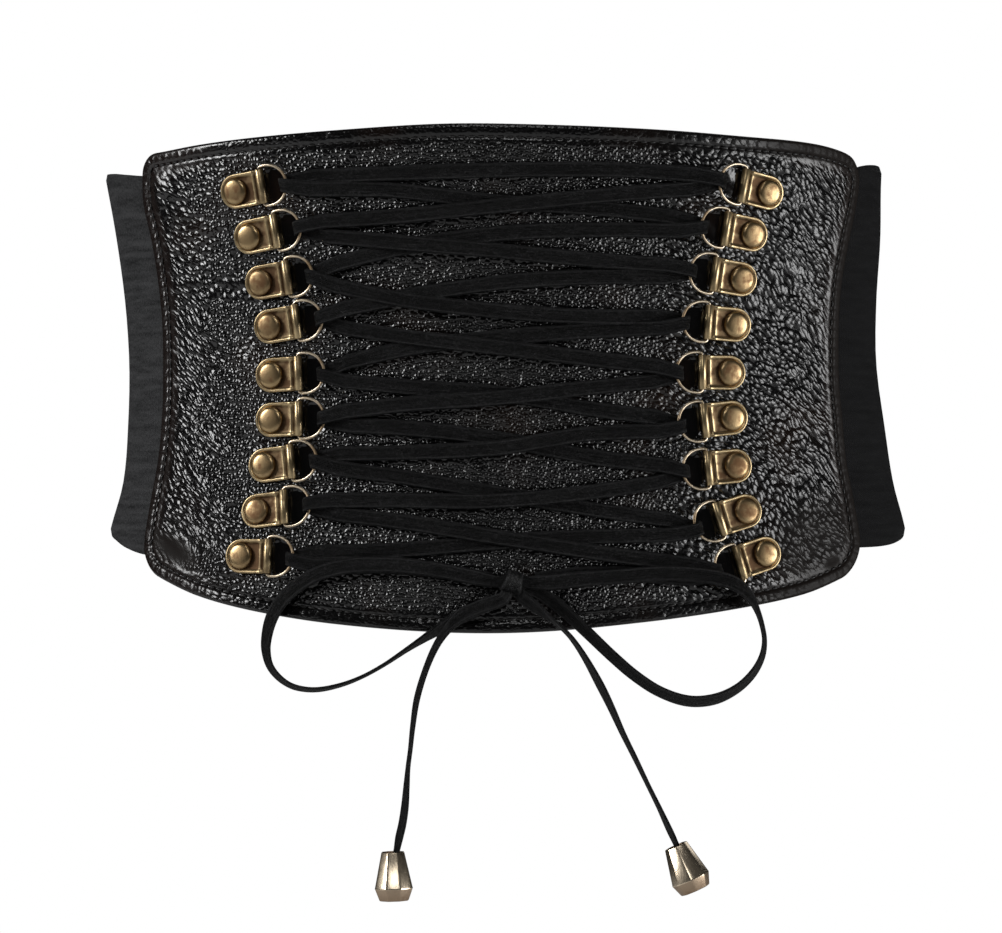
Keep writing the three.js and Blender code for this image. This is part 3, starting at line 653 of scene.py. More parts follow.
def makeBacking():
    material, start, shader = newMaterial("panelBacking", {"Specular IOR Level": 0.2})
    skin = start.vectorFrom("skin")
    fuzz = skin.noise(1.6, 4)
    attach(start.tree, shader, Base_Color=fuzz.tint((0.012, 0.012, 0.013), (0.03, 0.03, 0.032)),
           Roughness=0.8 + 0.15 * fuzz, Normal=bumped(fuzz, 0.12))
    return material


# Millimetres from loop to loop of the knit
elasticKnit = {"along": 0.55, "up": 0.7}


def makeElasticCloth():
    material, start, shader = newMaterial("ribbedElastic", {"Specular IOR Level": 0.12})
    weave = start.vectorFrom("skin")
    faded = start.valueFrom("faded")
    along = weave.part(0)
    up = weave.part(1)
    knit = along.beat(elasticKnit["along"]) * up.beat(elasticKnit["up"])
    streaks = weave.scaled((0.12, 1, 1)).noise(0.55, 4)
    bands = weave.scaled((0.02, 1, 1)).noise(0.3, 2)
    fuzz = weave.noise(1.2, 3)
    # The wing's colour is scaled by painted light: lighter on the left wing, darker on the right
    shade = (0.4 * fuzz + 0.35 * streaks + 0.25 * bands).between(0.2, 0.8) * (0.15 + 0.85 * faded)
    attach(start.tree, shader, Base_Color=shade.tint((0.004, 0.004, 0.0044), (0.092, 0.093, 0.096)),
           Roughness=0.74 + 0.16 * fuzz,
           Normal=bumped(knit * 0.4 + bands * 0.6 + streaks * 0.5 + fuzz * 0.2, 0.16))
    return material


# Millimetres from thread to thread, along and across, and from the middle to the edge cords, whose lighter
# colour is a painted highlight
laceWeave = {"thread": 0.52, "pick": 0.75, "cordAndEdgeHighlight": 1.95}


def makeLaceCloth():
    material, start, shader = newMaterial("wovenLace", {"Specular IOR Level": 0.18})
    weave = start.vectorFrom("weave")
    along = weave.part(0)
    over = weave.part(1)
    drift = weave.scaled((0.25, 1, 1)).noise(0.6, 2) * 1.5
    threads = (over + drift * 0.25).beat(laceWeave["thread"])
    picks = (along + over * 0.8).beat(laceWeave["pick"])
    creases = weave.scaled((0.05, 1, 1)).noise(0.75, 3)
    fuzz = weave.noise(1.6, 3)
    cordAndEdgeHighlight = over.bell(laceWeave["cordAndEdgeHighlight"], 0.3) + over.bell(-laceWeave["cordAndEdgeHighlight"], 0.3)
    height = threads * 0.4 + threads * picks * 0.25 + fuzz * 0.5 + creases * 2.4 + cordAndEdgeHighlight * 1.4
    strand = weave.scaled((0.14, 1, 1)).noise(2.0, 3)
    speckle = weave.scaled((0.7, 1, 1)).noise(1.5, 2)
    lint = speckle.between(0.5, 0.72) * weave.scaled((0.3, 1, 1)).noise(0.16, 2).between(0.38, 0.6)
    # the edge cords' lighter colour is a painted highlight along both edges; they are also raised in the bump
    shade = (0.3 * fuzz + 0.5 * strand + 0.35 * creases + 0.3 * cordAndEdgeHighlight).between(0.46, 0.86) * 0.75 + 0.65 * lint
    attach(start.tree, shader, Base_Color=shade.tint((0.0008, 0.0008, 0.0009), (0.034, 0.034, 0.035)),
           Roughness=0.34 + 0.25 * fuzz, Normal=bumped(height + strand * 2.2 + speckle * 2.4, 0.3))
    return material


def makeThread():
    material, start, shader = newMaterial("stitchThread", {"Specular IOR Level": 0.5})
    spot = start.node("ShaderNodeTexCoord", output=3)
    twist = spot.noise(2500, 2)
    attach(start.tree, shader, Base_Color=twist.tint((0.005, 0.0045, 0.0045), (0.018, 0.016, 0.016)),
           Roughness=0.34 + 0.15 * twist, Normal=bumped(twist, 0.05))
    return material


# Brass with its own tone for each piece, darkest where its mesh marks it: tarnish where the shape is sunk,
# and painted shade in the lace tips' mouths and lower bells and round the rings' bows
def makeBrass(name, look):
    material, start, shader = newMaterial(name, {"Metallic": 1.0})
    spot = start.node("ShaderNodeTexCoord", output=3)
    recess = start.valueFrom("recess")
    own = start.valueFrom("tone")
    blot = spot.noise(380, 4)
    scratch = spot.scaled((1, 1, 0.15)).noise(2600, 2)
    wear = (blot - 0.45 + own * 0.2).between(0.0, 0.35) * look["wear"]
    # the darkening mixes tarnish with painted shade from the mesh's marks
    tarnishAndPaintedShade = (recess * 0.9 + wear).between(0.05, 1.0)
    attach(start.tree, shader, Base_Color=tarnishAndPaintedShade.tint(look["bright"], look["dark"]),
           Roughness=look["roughness"] + 0.25 * tarnishAndPaintedShade + 0.1 * scratch,
           Normal=bumped(blot * 0.4 + scratch * 0.25, 0.05))
    return material


brassLooks = {
    "antiqueBrass": {
        "bright": (0.6, 0.46, 0.26), "dark": (0.11, 0.064, 0.035), "roughness": 0.27, "wear": 0.5,
    },
    "rivetBrass": {
        "bright": (0.5, 0.36, 0.19), "dark": (0.17, 0.09, 0.045), "roughness": 0.24, "wear": 0.5,
    },
    "wireBrass": {
        "bright": (0.85, 0.72, 0.54), "dark": (0.35, 0.25, 0.15), "roughness": 0.24, "wear": 0.3,
    },
    "tipBrass": {
        "bright": (1.0, 0.84, 0.63), "dark": (0.26, 0.14, 0.075), "roughness": 0.2, "wear": 0.12,
    },
}

leather = makeLeather()
backing = makeBacking()
elasticCloth = makeElasticCloth()
laceCloth = makeLaceCloth()
thread = makeThread()
tabBrass, rivetBrass, ringBrass, tipBrass = (makeBrass(name, look) for name, look in brassLooks.items())


# Camera

cameraPlace = {"x": -0.3, "distance": 1600, "z": -28, "focalPixels": 4810.7, "widthPixels": 1002}


def makeCamera():
    data = bpy.data.cameras.new("camera")
    data.sensor_width = 36
    data.lens = data.sensor_width * cameraPlace["focalPixels"] / cameraPlace["widthPixels"]
    data.clip_start = 0.05
    data.clip_end = 50
    camera = newObject("camera", data)
    camera.location = Vector((cameraPlace["x"], -cameraPlace["distance"], cameraPlace["z"])) * mm
    camera.rotation_euler = (math.radians(90), 0, 0)
    bpy.context.scene.camera = camera


makeCamera()
say("camera set")


# The lace: one flat ribbon through stations

lace = {
    "width": 5,
    "thickness": 1,
    "foldWidth": 4.4,
    "runLift": 1,
    "crossLift": 2.3,
    "crossReach": 0.6,
    "crossSlope": 4,
    "spacing": 1.2,
    "sides": 18,
    "squareness": 0.42,
    "crown": 0.6,
    "tilt": 9,
    "uneven": 0.05,
    "heldSpacing": 1,
    "crossFrom": 0.1,  # the shares of a strand between which it can start to rise
    "crossFull": 0.2,
}


# The ribbon's section: a flat oval, a little crowned
def laceOutline():
    turn = roundTurns(lace["sides"])
    w = np.sign(np.cos(turn)) * np.abs(np.cos(turn)) ** lace["squareness"] * lace["width"] / 2
    t = np.sign(np.sin(turn)) * np.abs(np.sin(turn)) ** lace["crown"] * lace["thickness"] / 2
    return w, t


# Lengths along a line from its first point
def farAlong(point):
    return np.concatenate([[0], np.cumsum(np.linalg.norm(np.diff(point, axis=0), axis=1))])


def ribbon(name, point, across, squeeze, isLoop=False):
    n = len(point)
    if isLoop:
        ahead = unit(np.roll(point, -1, axis=0) - np.roll(point, 1, axis=0))
    else:
        ahead = unit(np.gradient(point, axis=0))
    across = unit(across - (across * ahead).sum(-1, keepdims=True) * ahead)
    through = np.cross(ahead, across)
    w, t = laceOutline()
    sides = len(w)
    # A little wider here and narrower there, each ribbon by its own row of the noise
    noiseRow = np.full(n, 3.0 * len(name))
    squeeze = squeeze * (1 + lace["uneven"] * softNoise(np.arange(n) * 1.0, noiseRow, 17, 23))
    rings = (point[:, None] + across[:, None] * (w[None, :, None] * squeeze[:, None, None])
             + through[:, None] * t[None, :, None])
    far = farAlong(point)
    weave = np.stack([np.repeat(far, sides), np.tile(w, n), np.tile(t, n)], axis=-1)
    faces = tubeFaces(n, sides, isLoop=True) if isLoop else closedTube(n, sides)
    points = rings.reshape(-1, 3)
    piece = makeMesh(name, points, facingOut(points, faces), {"weave": weave})
    piece.data.materials.append(laceCloth)
    return piece, far[-1]


# A line's points at an even spacing, with the values that go with them
def evenly(point, others, spacing):
    far = farAlong(point)
    keep = np.concatenate([[True], np.diff(far) > 1e-6])
    far = far[keep]
    wanted = np.linspace(0, far[-1], max(int(round(far[-1] / spacing)), 4) + 1)
    return curveThrough(far, point[keep], wanted), [curveThrough(far, o[keep], wanted) for o in others]


knot = {
    "x": 3.6,
    "z": -64.3,
    "lift": 3.6,
    "width": 11.5,
    "height": 6.6,
    "depth": 5.6,
    "reach": 1.2,
    "heart": 0.85,  # the heart's share of the knot's height and depth
    "lean": 0.28,
    "bandWide": 1.25,
    "bandUneven": 0.2,
}
knotMiddle = frontFrame(knot["x"], knot["z"], knot["lift"])[0]


# A free stretch by its route's rows, with the flat face turned as they say. It is squeezed at
# both ends, and runs on from them into the knot or the tip
def freeLace(name, route, squeeze, runOn):
    columns = {key: np.array([row[key] for row in route], float) for key in ("x", "z", "lift", "turn")}
    point, _, _, outward = frontFrame(columns["x"], columns["z"], columns["lift"])
    turn = columns["turn"]
    endsInKnot = np.linalg.norm(knotMiddle - point[-1]) < knot["width"] * 2
    first = point[:1] + unit(knotMiddle - point[:1]) * runOn[0]
    ahead = unit(knotMiddle - point[-1:]) if endsInKnot else unit(point[-1:] - point[-2:-1])
    point = np.concatenate([first, point, point[-1:] + ahead * runOn[1]])
    outward = np.concatenate([outward[:1], outward, outward[-1:]])
    turn = np.concatenate([turn[:1], turn, turn[-1:]])
    point, (outward, turn) = evenly(point, [outward, turn], lace["spacing"])
    ahead = unit(np.gradient(point, axis=0))
    across = unit(np.cross(outward, ahead))
    turn = np.radians(turn)[:, None]
    across = across * np.cos(turn) + np.cross(ahead, across) * np.sin(turn)
    share = np.linspace(0, 1, len(point))
    atStart = 1 - smoothStep(share, 0, 0.06)
    atEnd = smoothStep(share, 0.94, 1)
    narrow = 1 - (1 - squeeze[0]) * atStart - (1 - squeeze[1]) * atEnd
    piece, length = ribbon(name, point, across, narrow)
    return piece, point, length


def declareLace(piece, point, length, node, farEnd, withPieces=()):
    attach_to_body(piece, "root")
    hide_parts(node)
    path = [tuple(p) for p in (point * mm).tolist()]
    length * mm
    say(f"{piece.name} is {length:.0f} mm long")


# Each with its narrowing at the two ends, and how far it runs on from them
loopLeft = freeLace("bowLoopLeft", leftLoopRoute, (0.8, 0.8), (3, 2.5))
loopRight = freeLace("bowLoopRight", rightLoopRoute, (0.8, 0.8), (3, 3))
tailLeft = freeLace("laceTailLeft", leftTailRoute, (0.85, 0.72), (2.6, 1.6))
tailRight = freeLace("laceTailRight", rightTailRoute, (0.85, 0.72), (2.6, 1.6))
declareLace(*loopLeft, "bow_loop_left", "object")
declareLace(*loopRight, "bow_loop_right", "object")


# The lace's metal tips

tip = {
    "topRadius": 3.8,
    "widestRadius": 6.3,
    "bottomRadius": 4.8,
    "widestDrop": 11.4,
    "length": 15.3,
    "sides": 8,
    "edge": 0.3,
    "wall": 0.6,
    "cushion": 0.14,  # how far each facet swells in its middle
    "cornerWear": 0.012,
}
leftTip = {"x": -34.2, "z": -148.7, "lift": 4, "lean": 1.6, "turn": 0}
rightTip = {"x": 54.6, "z": -147.1, "lift": 4, "lean": 24, "turn": 22.5}


# An eight-sided bell with softened edges, open at the top and hollow from below
def makeTip(name, place, node):
    centre = frontFrame(place["x"], place["z"], place["lift"])[0]
    lean = math.radians(place["lean"])
    ahead = np.array([math.sin(lean), 0, -math.cos(lean)])
    front = np.array([0.0, -1.0, 0.0])
    aside = np.cross(front, ahead)
    e = tip["edge"]
    wall = tip["wall"]
    top = tip["topRadius"]
    widest = tip["widestRadius"]
    bottom = tip["bottomRadius"]
    drop = tip["widestDrop"]
    length = tip["length"]
    # (radius, drop, how dark) from inside the mouth out, down the bell and up inside it; the dark in the
    # mouth is painted shade, and the dark on the bell's lower part is painted shade that stands for a dark
    # reflection from below
    profile = [
        (1.0, 3.0, 1.0), (top - wall, 2.8, 1.0), (top - wall, 0.3, 0.8), (top - wall + 0.15, 0, 0.4),
        (top - 0.2, 0, 0.1), (top, e * 0.7, 0),
        (widest - 0.1, drop - e, 0), (widest, drop - 0.05, 0.05), (widest - 0.08, drop + 0.2, 0.6),
        (bottom + 0.12, length - e, 0.7), (bottom - 0.1, length - 0.05, 0.75), (bottom - 0.35, length, 0.9),
        (bottom - wall - 0.2, length - 0.3, 0.9), (bottom - wall - 0.2, length - 5, 1.0),
        (0.6, length - 5.3, 1.0),
    ]
    outerFace = range(5, 11)
    corner = 2 * np.pi / tip["sides"]
    shares = np.array([-0.97, -0.88, -0.6, -0.3, 0, 0.3, 0.6, 0.88, 0.97])
    turns = []
    reach = []
    for k in range(tip["sides"]):
        for share in shares:
            turn = np.arctan(share * np.tan(corner / 2))
            turns.append(math.radians(place["turn"]) + corner * k + turn)
            reach.append(math.cos(corner / 2) / math.cos(turn) * (1 - tip["cornerWear"] * abs(share) ** 12))
    turns = np.array(turns)
    reach = np.array(reach)
    swell = np.tile(1 - shares ** 2, tip["sides"]) * tip["cushion"]
    spokes = front[None] * np.cos(turns)[:, None] + aside[None] * np.sin(turns)[:, None]
    points = []
    recess = []
    for n, (radius, low, dark) in enumerate(profile):
        r = radius * reach + (swell * radius / widest if n in outerFace else 0)
        points.append(centre + ahead * low + spokes * r[:, None])
        recess += [dark] * len(turns)
    points = np.concatenate(points)
    faces = closedTube(len(profile), len(turns))
    piece = makeMesh(name, points, facingOut(points - centre, faces), {"recess": np.array(recess)})
    piece.data.materials.append(tipBrass)
    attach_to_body(piece, "root")
    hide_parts(node)
    return piece


tipLeft = makeTip("laceTipLeft", leftTip, "lace_tip_left")
tipRight = makeTip("laceTipRight", rightTip, "lace_tip_right")
declareLace(*tailLeft, "lace_tail_left", "fitting", [tipLeft])
declareLace(*tailRight, "lace_tail_right", "fitting", [tipRight])
say("bow loops, tails and tips made")


# The hardware's sizes and its places on the panel

tab = {
    "height": 11,
    "length": 16.9,
    "floor": 0.4,
    "rim": 1.0,
    "rimWidth": 0.6,
    "rimFall": 1.1,  # from the rim's top in to the floor
    "ridgeX": 7.0,  # the pressed ridge before the knuckle
    "ridgeWidth": 0.7,
    "ridgeHeight": 0.34,
    "knob": 0.14,  # where the ridge meets the rim
    "knobWidth": 0.6,
    "rimDip": 0.34,  # towards the knuckle
    "floorDip": 0.15,
    "rimRound": 0.25,
    "knuckleRadius": 1.35,
    "knuckleBore": 0.8,
    "seatX": 5,
}
tab["knuckleX"] = tab["length"] - tab["height"] / 2 - tab["knuckleRadius"]
rivet = {"radius": 4.2, "rise": 1.9, "foot": 0.4, "turns": 32}
ring = {"wireRadius": 0.47, "halfHeight": 6.4, "reach": 9.1, "fullness": 0.92, "sides": 10, "steps": 52}
ringHole = {"x": tab["knuckleX"] + 4.2, "halfLength": 5.2, "halfWidth": 5.8, "depth": 6}
ring["frontX"] = tab["knuckleX"] + ring["reach"]
ring["z"] = tab["knuckleRadius"]


# A tab's frame on the panel, as a matrix in millimetres
def tabFrame(row, direction):
    tilt = math.radians(row["tilt"])
    point, along, up, _ = frontFrame(row["x"], row["z"], gap)
    guess = point + along * (-direction * tab["seatX"] * math.cos(tilt)) + up * tab["seatX"] * math.sin(tilt)
    point, along, up, outward = frontFrame(guess[0], guess[2], gap)
    toRing = unit(along * (-direction * math.cos(tilt)) + up * math.sin(tilt))
    aside = np.cross(outward, toRing)
    frameMatrix = np.eye(4)
    frameMatrix[:3, 0] = toRing
    frameMatrix[:3, 1] = aside
    frameMatrix[:3, 2] = outward
    frameMatrix[:3, 3] = point - toRing * tab["seatX"]
    return frameMatrix


tabFrames = {f"left_{n + 1}": tabFrame(row, -1) for n, row in enumerate(leftTabs)}
tabFrames.update({f"right_{n + 1}": tabFrame(row, 1) for n, row in enumerate(rightTabs)})


# How much a point of the leather lies inside a ring, where the lace has pressed it flat
def ringShade(points):
    shade = np.zeros(len(points))
    for matrix in tabFrames.values():
        local = (points - matrix[:3, 3]) @ matrix[:3, :3]
        across = (local[:, 0] - ringHole["x"]) / ringHole["halfLength"]
        reach = np.hypot(across, local[:, 1] / ringHole["halfWidth"])
        near = np.abs(local[:, 2]) < ringHole["depth"]  # not on the far side of the waist
        shade = np.maximum(shade, (1 - smoothStep(reach, 0.75, 1.1)) * near)
    return shade


# The leather panel

panelMake = {
    "pitch": 1.05,
    "gridRadius": 122,  # these two only set how many points the pitch gives
    "gridHeight": 145,
    "rimSteps": (0, 0.12, 0.35, 0.7, 1.15, 1.8, 2.5, 3.1, 3.6, 4.0, 4.4, 4.9, 5.5, 6.3, 7.2),
    "edgeRound": 1.1,
    "innerRound": 0.5,
    "innerRoundWidth": 0.6,
    "hemWidth": 5.2,
    "hemLift": 0.4,
    "stitchIn": 4.2,
    "groove": 0.62,
    "grooveWidth": 0.62,
    "pucker": 0.14,
    "puckerWidth": 1.5,
    "waves": 0.5,
    "waveSize": 26,
    "wrinkles": 0.34,
    "wrinkleSize": 11,
    "fineWrinkleSize": 6,
    # Each pair of distances below is where a change sets in and where it is full:
    # from the edge, waves and wrinkles, and from the middle, stronger wrinkles
    "wavesIn": (4, 12),
    "wrinklesOut": (60, 105),
    # from the edge, grain in place of the smooth rim, and from the middle, that rim
    "grainIn": (6, 9),
    "smoothOut": (90, 106),
    # and from the middle to the right, the hem's share under the plain dark shader: painted shade on the
    # right hem
    "hemPaintedShadeOut": (60, 95),
    "hemPaintedShade": 0.92,
    "dullSpread": 1.3,
    "sideReach": 120,  # the distance from the middle that counts as 1 for the grain
}
# Patches of smoother leather and of the plain dark shader: how far in from the side and up from the lower rim
# they lie
smoothPatches = tableOf("side in up wide tall smooth dull", [
    (-1, 13, 11, 10, 4, 1, 1),
    (1, 12.5, 6.5, 4, 2.6, 1, 1),
    (-1, 7.5, 131, 7, 4.5, 0.9, 0),
    (-1, 19, 13, 19, 12, 0, 0.25),
    (1, 15, 13, 17, 14, 0, 0.7),
])
# A swelling by the upper left corner
mound = {"in": 9, "up": 127, "high": 1.2, "reach": 7, "fromRim": (4.5, 8)}
stitch = {"pitch": 3.1, "length": 2.3, "radius": 0.34, "sunk": 0.1}


# Places along a length, close together at both ends
def rimSpacing(length, pitch, rim):
    middle = length - 2 * rim[-1]
    inside = rim[-1] + np.linspace(0, middle, int(round(middle / pitch)) + 1)[1:-1]
    return np.concatenate([rim, inside, length - np.array(rim)[::-1]])


# How far a round corner pulls the panel's edge in, by the distance from the side
def cornerDrop(edge, across):
    fromSide = (1 - np.abs(across)) * np.radians(panelHalfAngle) * sideRadius
    radius = np.where(across < 0, panelCorners[edge + "Left"], panelCorners[edge + "Right"])
    inside = np.maximum(0, radius - fromSide)
    return radius - np.sqrt(radius * radius - inside * inside)


# The panel's grid of points, as angles round the waist and heights
def panelGrid():
    rim = panelMake["rimSteps"]
    pitch = panelMake["pitch"]
    tall = panelMake["gridHeight"]
    halfArc = np.radians(panelHalfAngle) * panelMake["gridRadius"]
    across = rimSpacing(2 * halfArc, pitch, rim) / halfArc - 1
    upShare = rimSpacing(tall, pitch, rim) / tall
    across, upShare = np.meshgrid(across, upShare, indexing="ij")
    x = across * panelHalfWidth
    top = readTable(panelHeights, "x", "top", x) - cornerDrop("top", across)
    bottom = readTable(panelHeights, "x", "bottom", x) + cornerDrop("bottom", across)
    z = bottom + (top - bottom) * upShare
    edgeX = bySide(across, panelSides, z)
    return np.abs(across) * angleAt(np.sign(across) * edgeX, z, panelLift), z


# Arc length round the waist from the front's middle, by angle and height
def arcLength(angle, z):
    spans = 24
    f = (np.arange(spans) + 0.5) / spans
    here = angle[..., None] * f
    half = bySide(angle, waistSections, z)
    depth = readTable(waistSections, "z", "depth", z)
    speed = np.sqrt((half[..., None] * np.cos(here)) ** 2 + (depth[..., None] * np.sin(here)) ** 2)
    return angle * speed.mean(-1)


panelAngle, panelZ = panelGrid()
panelU = arcLength(panelAngle, panelZ)
panelColumns, panelRows = panelAngle.shape
flatPanel = np.stack([panelU.ravel(), panelZ.ravel()], axis=-1)
panelOutline = flatPanel[gridRim(panelColumns, panelRows)]
edgeDistance, edgePlace, outlineLength = nearestOnOutline(flatPanel, panelOutline)
stitchCount = int(round(outlineLength / stitch["pitch"]))


# How high the leather's face stands, by place on the flat panel
def leatherRelief(u, v, distance, place):
    make = panelMake
    rounding = edgeFall(distance, make["edgeRound"])
    hem = make["hemLift"] * (1 - smoothStep(distance, make["hemWidth"] - 0.9, make["hemWidth"] + 0.6))
    fromSeam = distance - make["stitchIn"]
    groove = -make["groove"] * np.exp(-(fromSeam / make["grooveWidth"]) ** 2)
    beat = np.cos(2 * np.pi * place / outlineLength * stitchCount)
    pucker = make["pucker"] * beat * np.exp(-(fromSeam / make["puckerWidth"]) ** 2)
    inside = smoothStep(distance, *make["wavesIn"])
    waves = make["waves"] * softNoise(u, v, make["waveSize"], 3) * inside
    slant = math.radians(leatherLook["wrinkleTurn"])
    along = u * math.cos(slant) + v * math.sin(slant)
    over = -u * math.sin(slant) + v * math.cos(slant)
    sideways = smoothStep(np.abs(u), *make["wrinklesOut"])
    coarse = softNoise(along, over * 3, make["wrinkleSize"], 5)
    fine = 0.6 * softNoise(along, over * 2.4, make["fineWrinkleSize"], 6)
    wrinkles = make["wrinkles"] * (coarse + fine)
    wrinkles = wrinkles * inside * (0.35 + 0.65 * sideways)
    return rounding + hem + groove + pucker + waves + wrinkles


def makePanel():
    make = panelMake
    angle = panelAngle.ravel()
    z = panelZ.ravel()
    u = panelU.ravel()
    relief = leatherRelief(u, z, edgeDistance, edgePlace)
    upward = (panelZ - panelZ[:, :1]).ravel()
    fromMound = np.hypot((panelU - panelU[:1]).ravel() - mound["in"], upward - mound["up"])
    swell = mound["high"] * np.exp(-(fromMound / mound["reach"]) ** 2)
    swell = swell * smoothStep(edgeDistance, *mound["fromRim"])
    outer = waistFrame(angle, z, panelLift + relief + swell)[0]
    toRim = 1 - np.clip(edgeDistance / make["innerRoundWidth"], 0, 1)
    inner = waistFrame(angle, z, gap + make["innerRound"] * toRim ** 2)[0]
    hem = 1 - smoothStep(edgeDistance, make["hemWidth"] - 1, make["hemWidth"] + 1)
    seam = np.stack([edgePlace / outlineLength * stitchCount, edgeDistance, 0 * u], axis=-1)
    quiet = ringShade(outer)
    smooth = (1 - smoothStep(edgeDistance, *make["grainIn"])) * smoothStep(np.abs(u), *make["smoothOut"])
    dull = np.zeros(len(u))
    for patch in smoothPatches:
        inward = np.abs(panelU - panelU[-1:] if patch["side"] > 0 else panelU - panelU[:1]).ravel()
        spread = ((inward - patch["in"]) / patch["wide"]) ** 2 + ((upward - patch["up"]) / patch["tall"]) ** 2
        smooth = np.maximum(smooth, patch["smooth"] * np.exp(-spread ** 2))
        dull = np.maximum(dull, patch["dull"] * np.exp(-(spread / make["dullSpread"]) ** 3))
    # Painted shade: the right hem shown by the plain dark shader
    dull = np.maximum(dull, make["hemPaintedShade"] * hem * smoothStep(u, *make["hemPaintedShadeOut"]))
    attributes = onBothFaces(smooth=smooth, dull=dull, quiet=quiet, skin=np.stack([u, z, 0 * u], axis=-1),
                             side=np.abs(u) / make["sideReach"], hem=hem, seam=seam)
    points = np.concatenate([outer, inner])
    piece = makeMesh("frontPanel", points, wallFaces(panelColumns, panelRows), attributes)
    piece.data.materials.append(leather)
    piece.data.materials.append(backing)
    faces = np.zeros(len(piece.data.polygons), np.int32)
    single = (panelColumns - 1) * (panelRows - 1)
    faces[single:2 * single] = 1
    piece.data.polygons.foreach_set("material_index", faces)
    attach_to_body(piece, "root")
    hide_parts("front_panel")
    return outer


# The points of the leather's outer face
panelFace = makePanel()
say("front panel made")


# What both geometry trees share: their sockets, and how each one ends

def newTree(name, inputs):
    tree = bpy.data.node_groups.new(name, "GeometryNodeTree")
    kinds = {"Geometry": "Geometry", **inputs, "Material": "Material"}
    for label, kind in kinds.items():
        tree.interface.new_socket(label, in_out="INPUT", socket_type=f"NodeSocket{kind}")
    tree.interface.new_socket("Geometry", in_out="OUTPUT", socket_type="NodeSocketGeometry")
    outputs = tree.nodes.new("NodeGroupInput").outputs
    return Wire(tree), {label: Wire(tree, outputs[label]) for label in kinds}


# Sets the shape on each point, dyes it and gives it out
def setOnPoints(spots, shape, turn, material, tone=None):
    sockets = {"Points": spots, "Instance": shape, "Rotation": turn}
    row = spots.node("GeometryNodeInstanceOnPoints", None, sockets)
    if tone:
        row = row.node("GeometryNodeStoreNamedAttribute", {"data_type": "FLOAT", "domain": "INSTANCE"},
                       {"Geometry": row, "Name": "tone", "Value": tone})
    real = row.node("GeometryNodeRealizeInstances", None, {0: row})
    dyed = real.node("GeometryNodeSetMaterial", None, {"Geometry": real, "Material": material})
    output = dyed.tree.nodes.new("NodeGroupOutput")
    dyed.tree.links.new(dyed.socket, output.inputs[0])
    return dyed.tree


# Stitches: a row of short threads along a path
def stitchTree():
    start, given = newTree("stitchRow", {"Pitch": "Float", "Length": "Float", "Radius": "Float"})
    radius = given["Radius"]
    path = start.node("GeometryNodeMeshToCurve", None, {0: given["Geometry"]})
    sockets = {"Curve": path, "Length": given["Pitch"]}
    spots = start.node("GeometryNodeCurveToPoints", {"mode": "LENGTH"}, sockets)
    tangent = Wire(start.tree, spots.socket.node.outputs["Tangent"])
    turn = start.node("FunctionNodeAlignRotationToVector", {"axis": "X"}, {"Vector": tangent})
    ball = start.node("GeometryNodeMeshUVSphere", None, {"Segments": 8, "Rings": 6, "Radius": 1.0})
    size = start.node("ShaderNodeCombineXYZ", None, {0: given["Length"] * 0.5, 1: radius, 2: radius})
    one = start.node("GeometryNodeTransform", None, {"Geometry": ball, "Scale": size})
    shaded = start.node("GeometryNodeSetShadeSmooth", None, {"Geometry": one})
    return setOnPoints(spots, shaded, turn, given["Material"])


rowOfStitches = stitchTree()


# Runs a tree on an object and leaves its result as a plain mesh
def applyTree(thing, tree, values):
    modifier = thing.modifiers.new("make", "NODES")
    modifier.node_group = tree
    for item in tree.interface.items_tree:
        if item.item_type == "SOCKET" and item.in_out == "INPUT" and item.name in values:
            modifier[item.identifier] = values[item.name]
    evaluated = thing.evaluated_get(bpy.context.evaluated_depsgraph_get())
    mesh = bpy.data.meshes.new_from_object(evaluated)
    thing.modifiers.remove(modifier)
    old = thing.data
    thing.data = mesh
    bpy.data.meshes.remove(old)
    mesh.name = thing.name


def makeStitches(name, paths, isLoop, node, pitch):
    points = np.concatenate(paths)
    edges = []
    start = 0
    for path in paths:
        n = len(path)
        last = n if isLoop else n - 1
        edges += [(start + k, start + (k + 1) % n) for k in range(last)]
        start += n
    mesh = bpy.data.meshes.new(name)
    mesh.from_pydata((points * mm).tolist(), edges, [])
    thing = newObject(name, mesh)
    applyTree(thing, rowOfStitches, {"Pitch": pitch * mm, "Length": stitch["length"] * mm,
                                     "Radius": stitch["radius"] * mm, "Material": thread})
    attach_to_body(thing, "root")
    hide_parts(node)


# The seam's path: the outline moved in by the stitch's distance, on the leather's face
def seamPath():
    finder = KDTree(len(flatPanel))
    for n, (u, v) in enumerate(flatPanel):
        finder.insert((u, v, 0), n)
    finder.balance()
    count = stitchCount * 4
    lengths = np.linalg.norm(np.roll(panelOutline, -1, axis=0) - panelOutline, axis=1)
    far = np.concatenate([[0], np.cumsum(lengths)])
    closed = np.concatenate([panelOutline, panelOutline[:1]])
    wanted = np.arange(count) * far[-1] / count
    spot = np.stack([np.interp(wanted, far, closed[:, k]) for k in (0, 1)], axis=-1)
    ahead = unit(np.roll(spot, -3, axis=0) - np.roll(spot, 3, axis=0))
    inward = np.stack([-ahead[:, 1], ahead[:, 0]], axis=-1)
    spot = spot + inward * panelMake["stitchIn"]
    angle = panelAngle.ravel()
    path = []
    for u, v in spot:
        n = finder.find((u, v, 0))[1]
        _, along, up, outward = waistFrame(angle[n], panelZ.ravel()[n], 0.0)
        path.append(panelFace[n] + along * (u - flatPanel[n, 0]) + up * (v - flatPanel[n, 1])
                    + outward * (stitch["radius"] - stitch["sunk"]))
    return np.array(path)


panelSeam = seamPath()
seamLength = np.linalg.norm(np.roll(panelSeam, -1, axis=0) - panelSeam, axis=1).sum()
makeStitches("panelStitches", [panelSeam], True, "front_panel", seamLength / stitchCount)
say(f"{stitchCount} stitches round the panel")


# The elastic wings

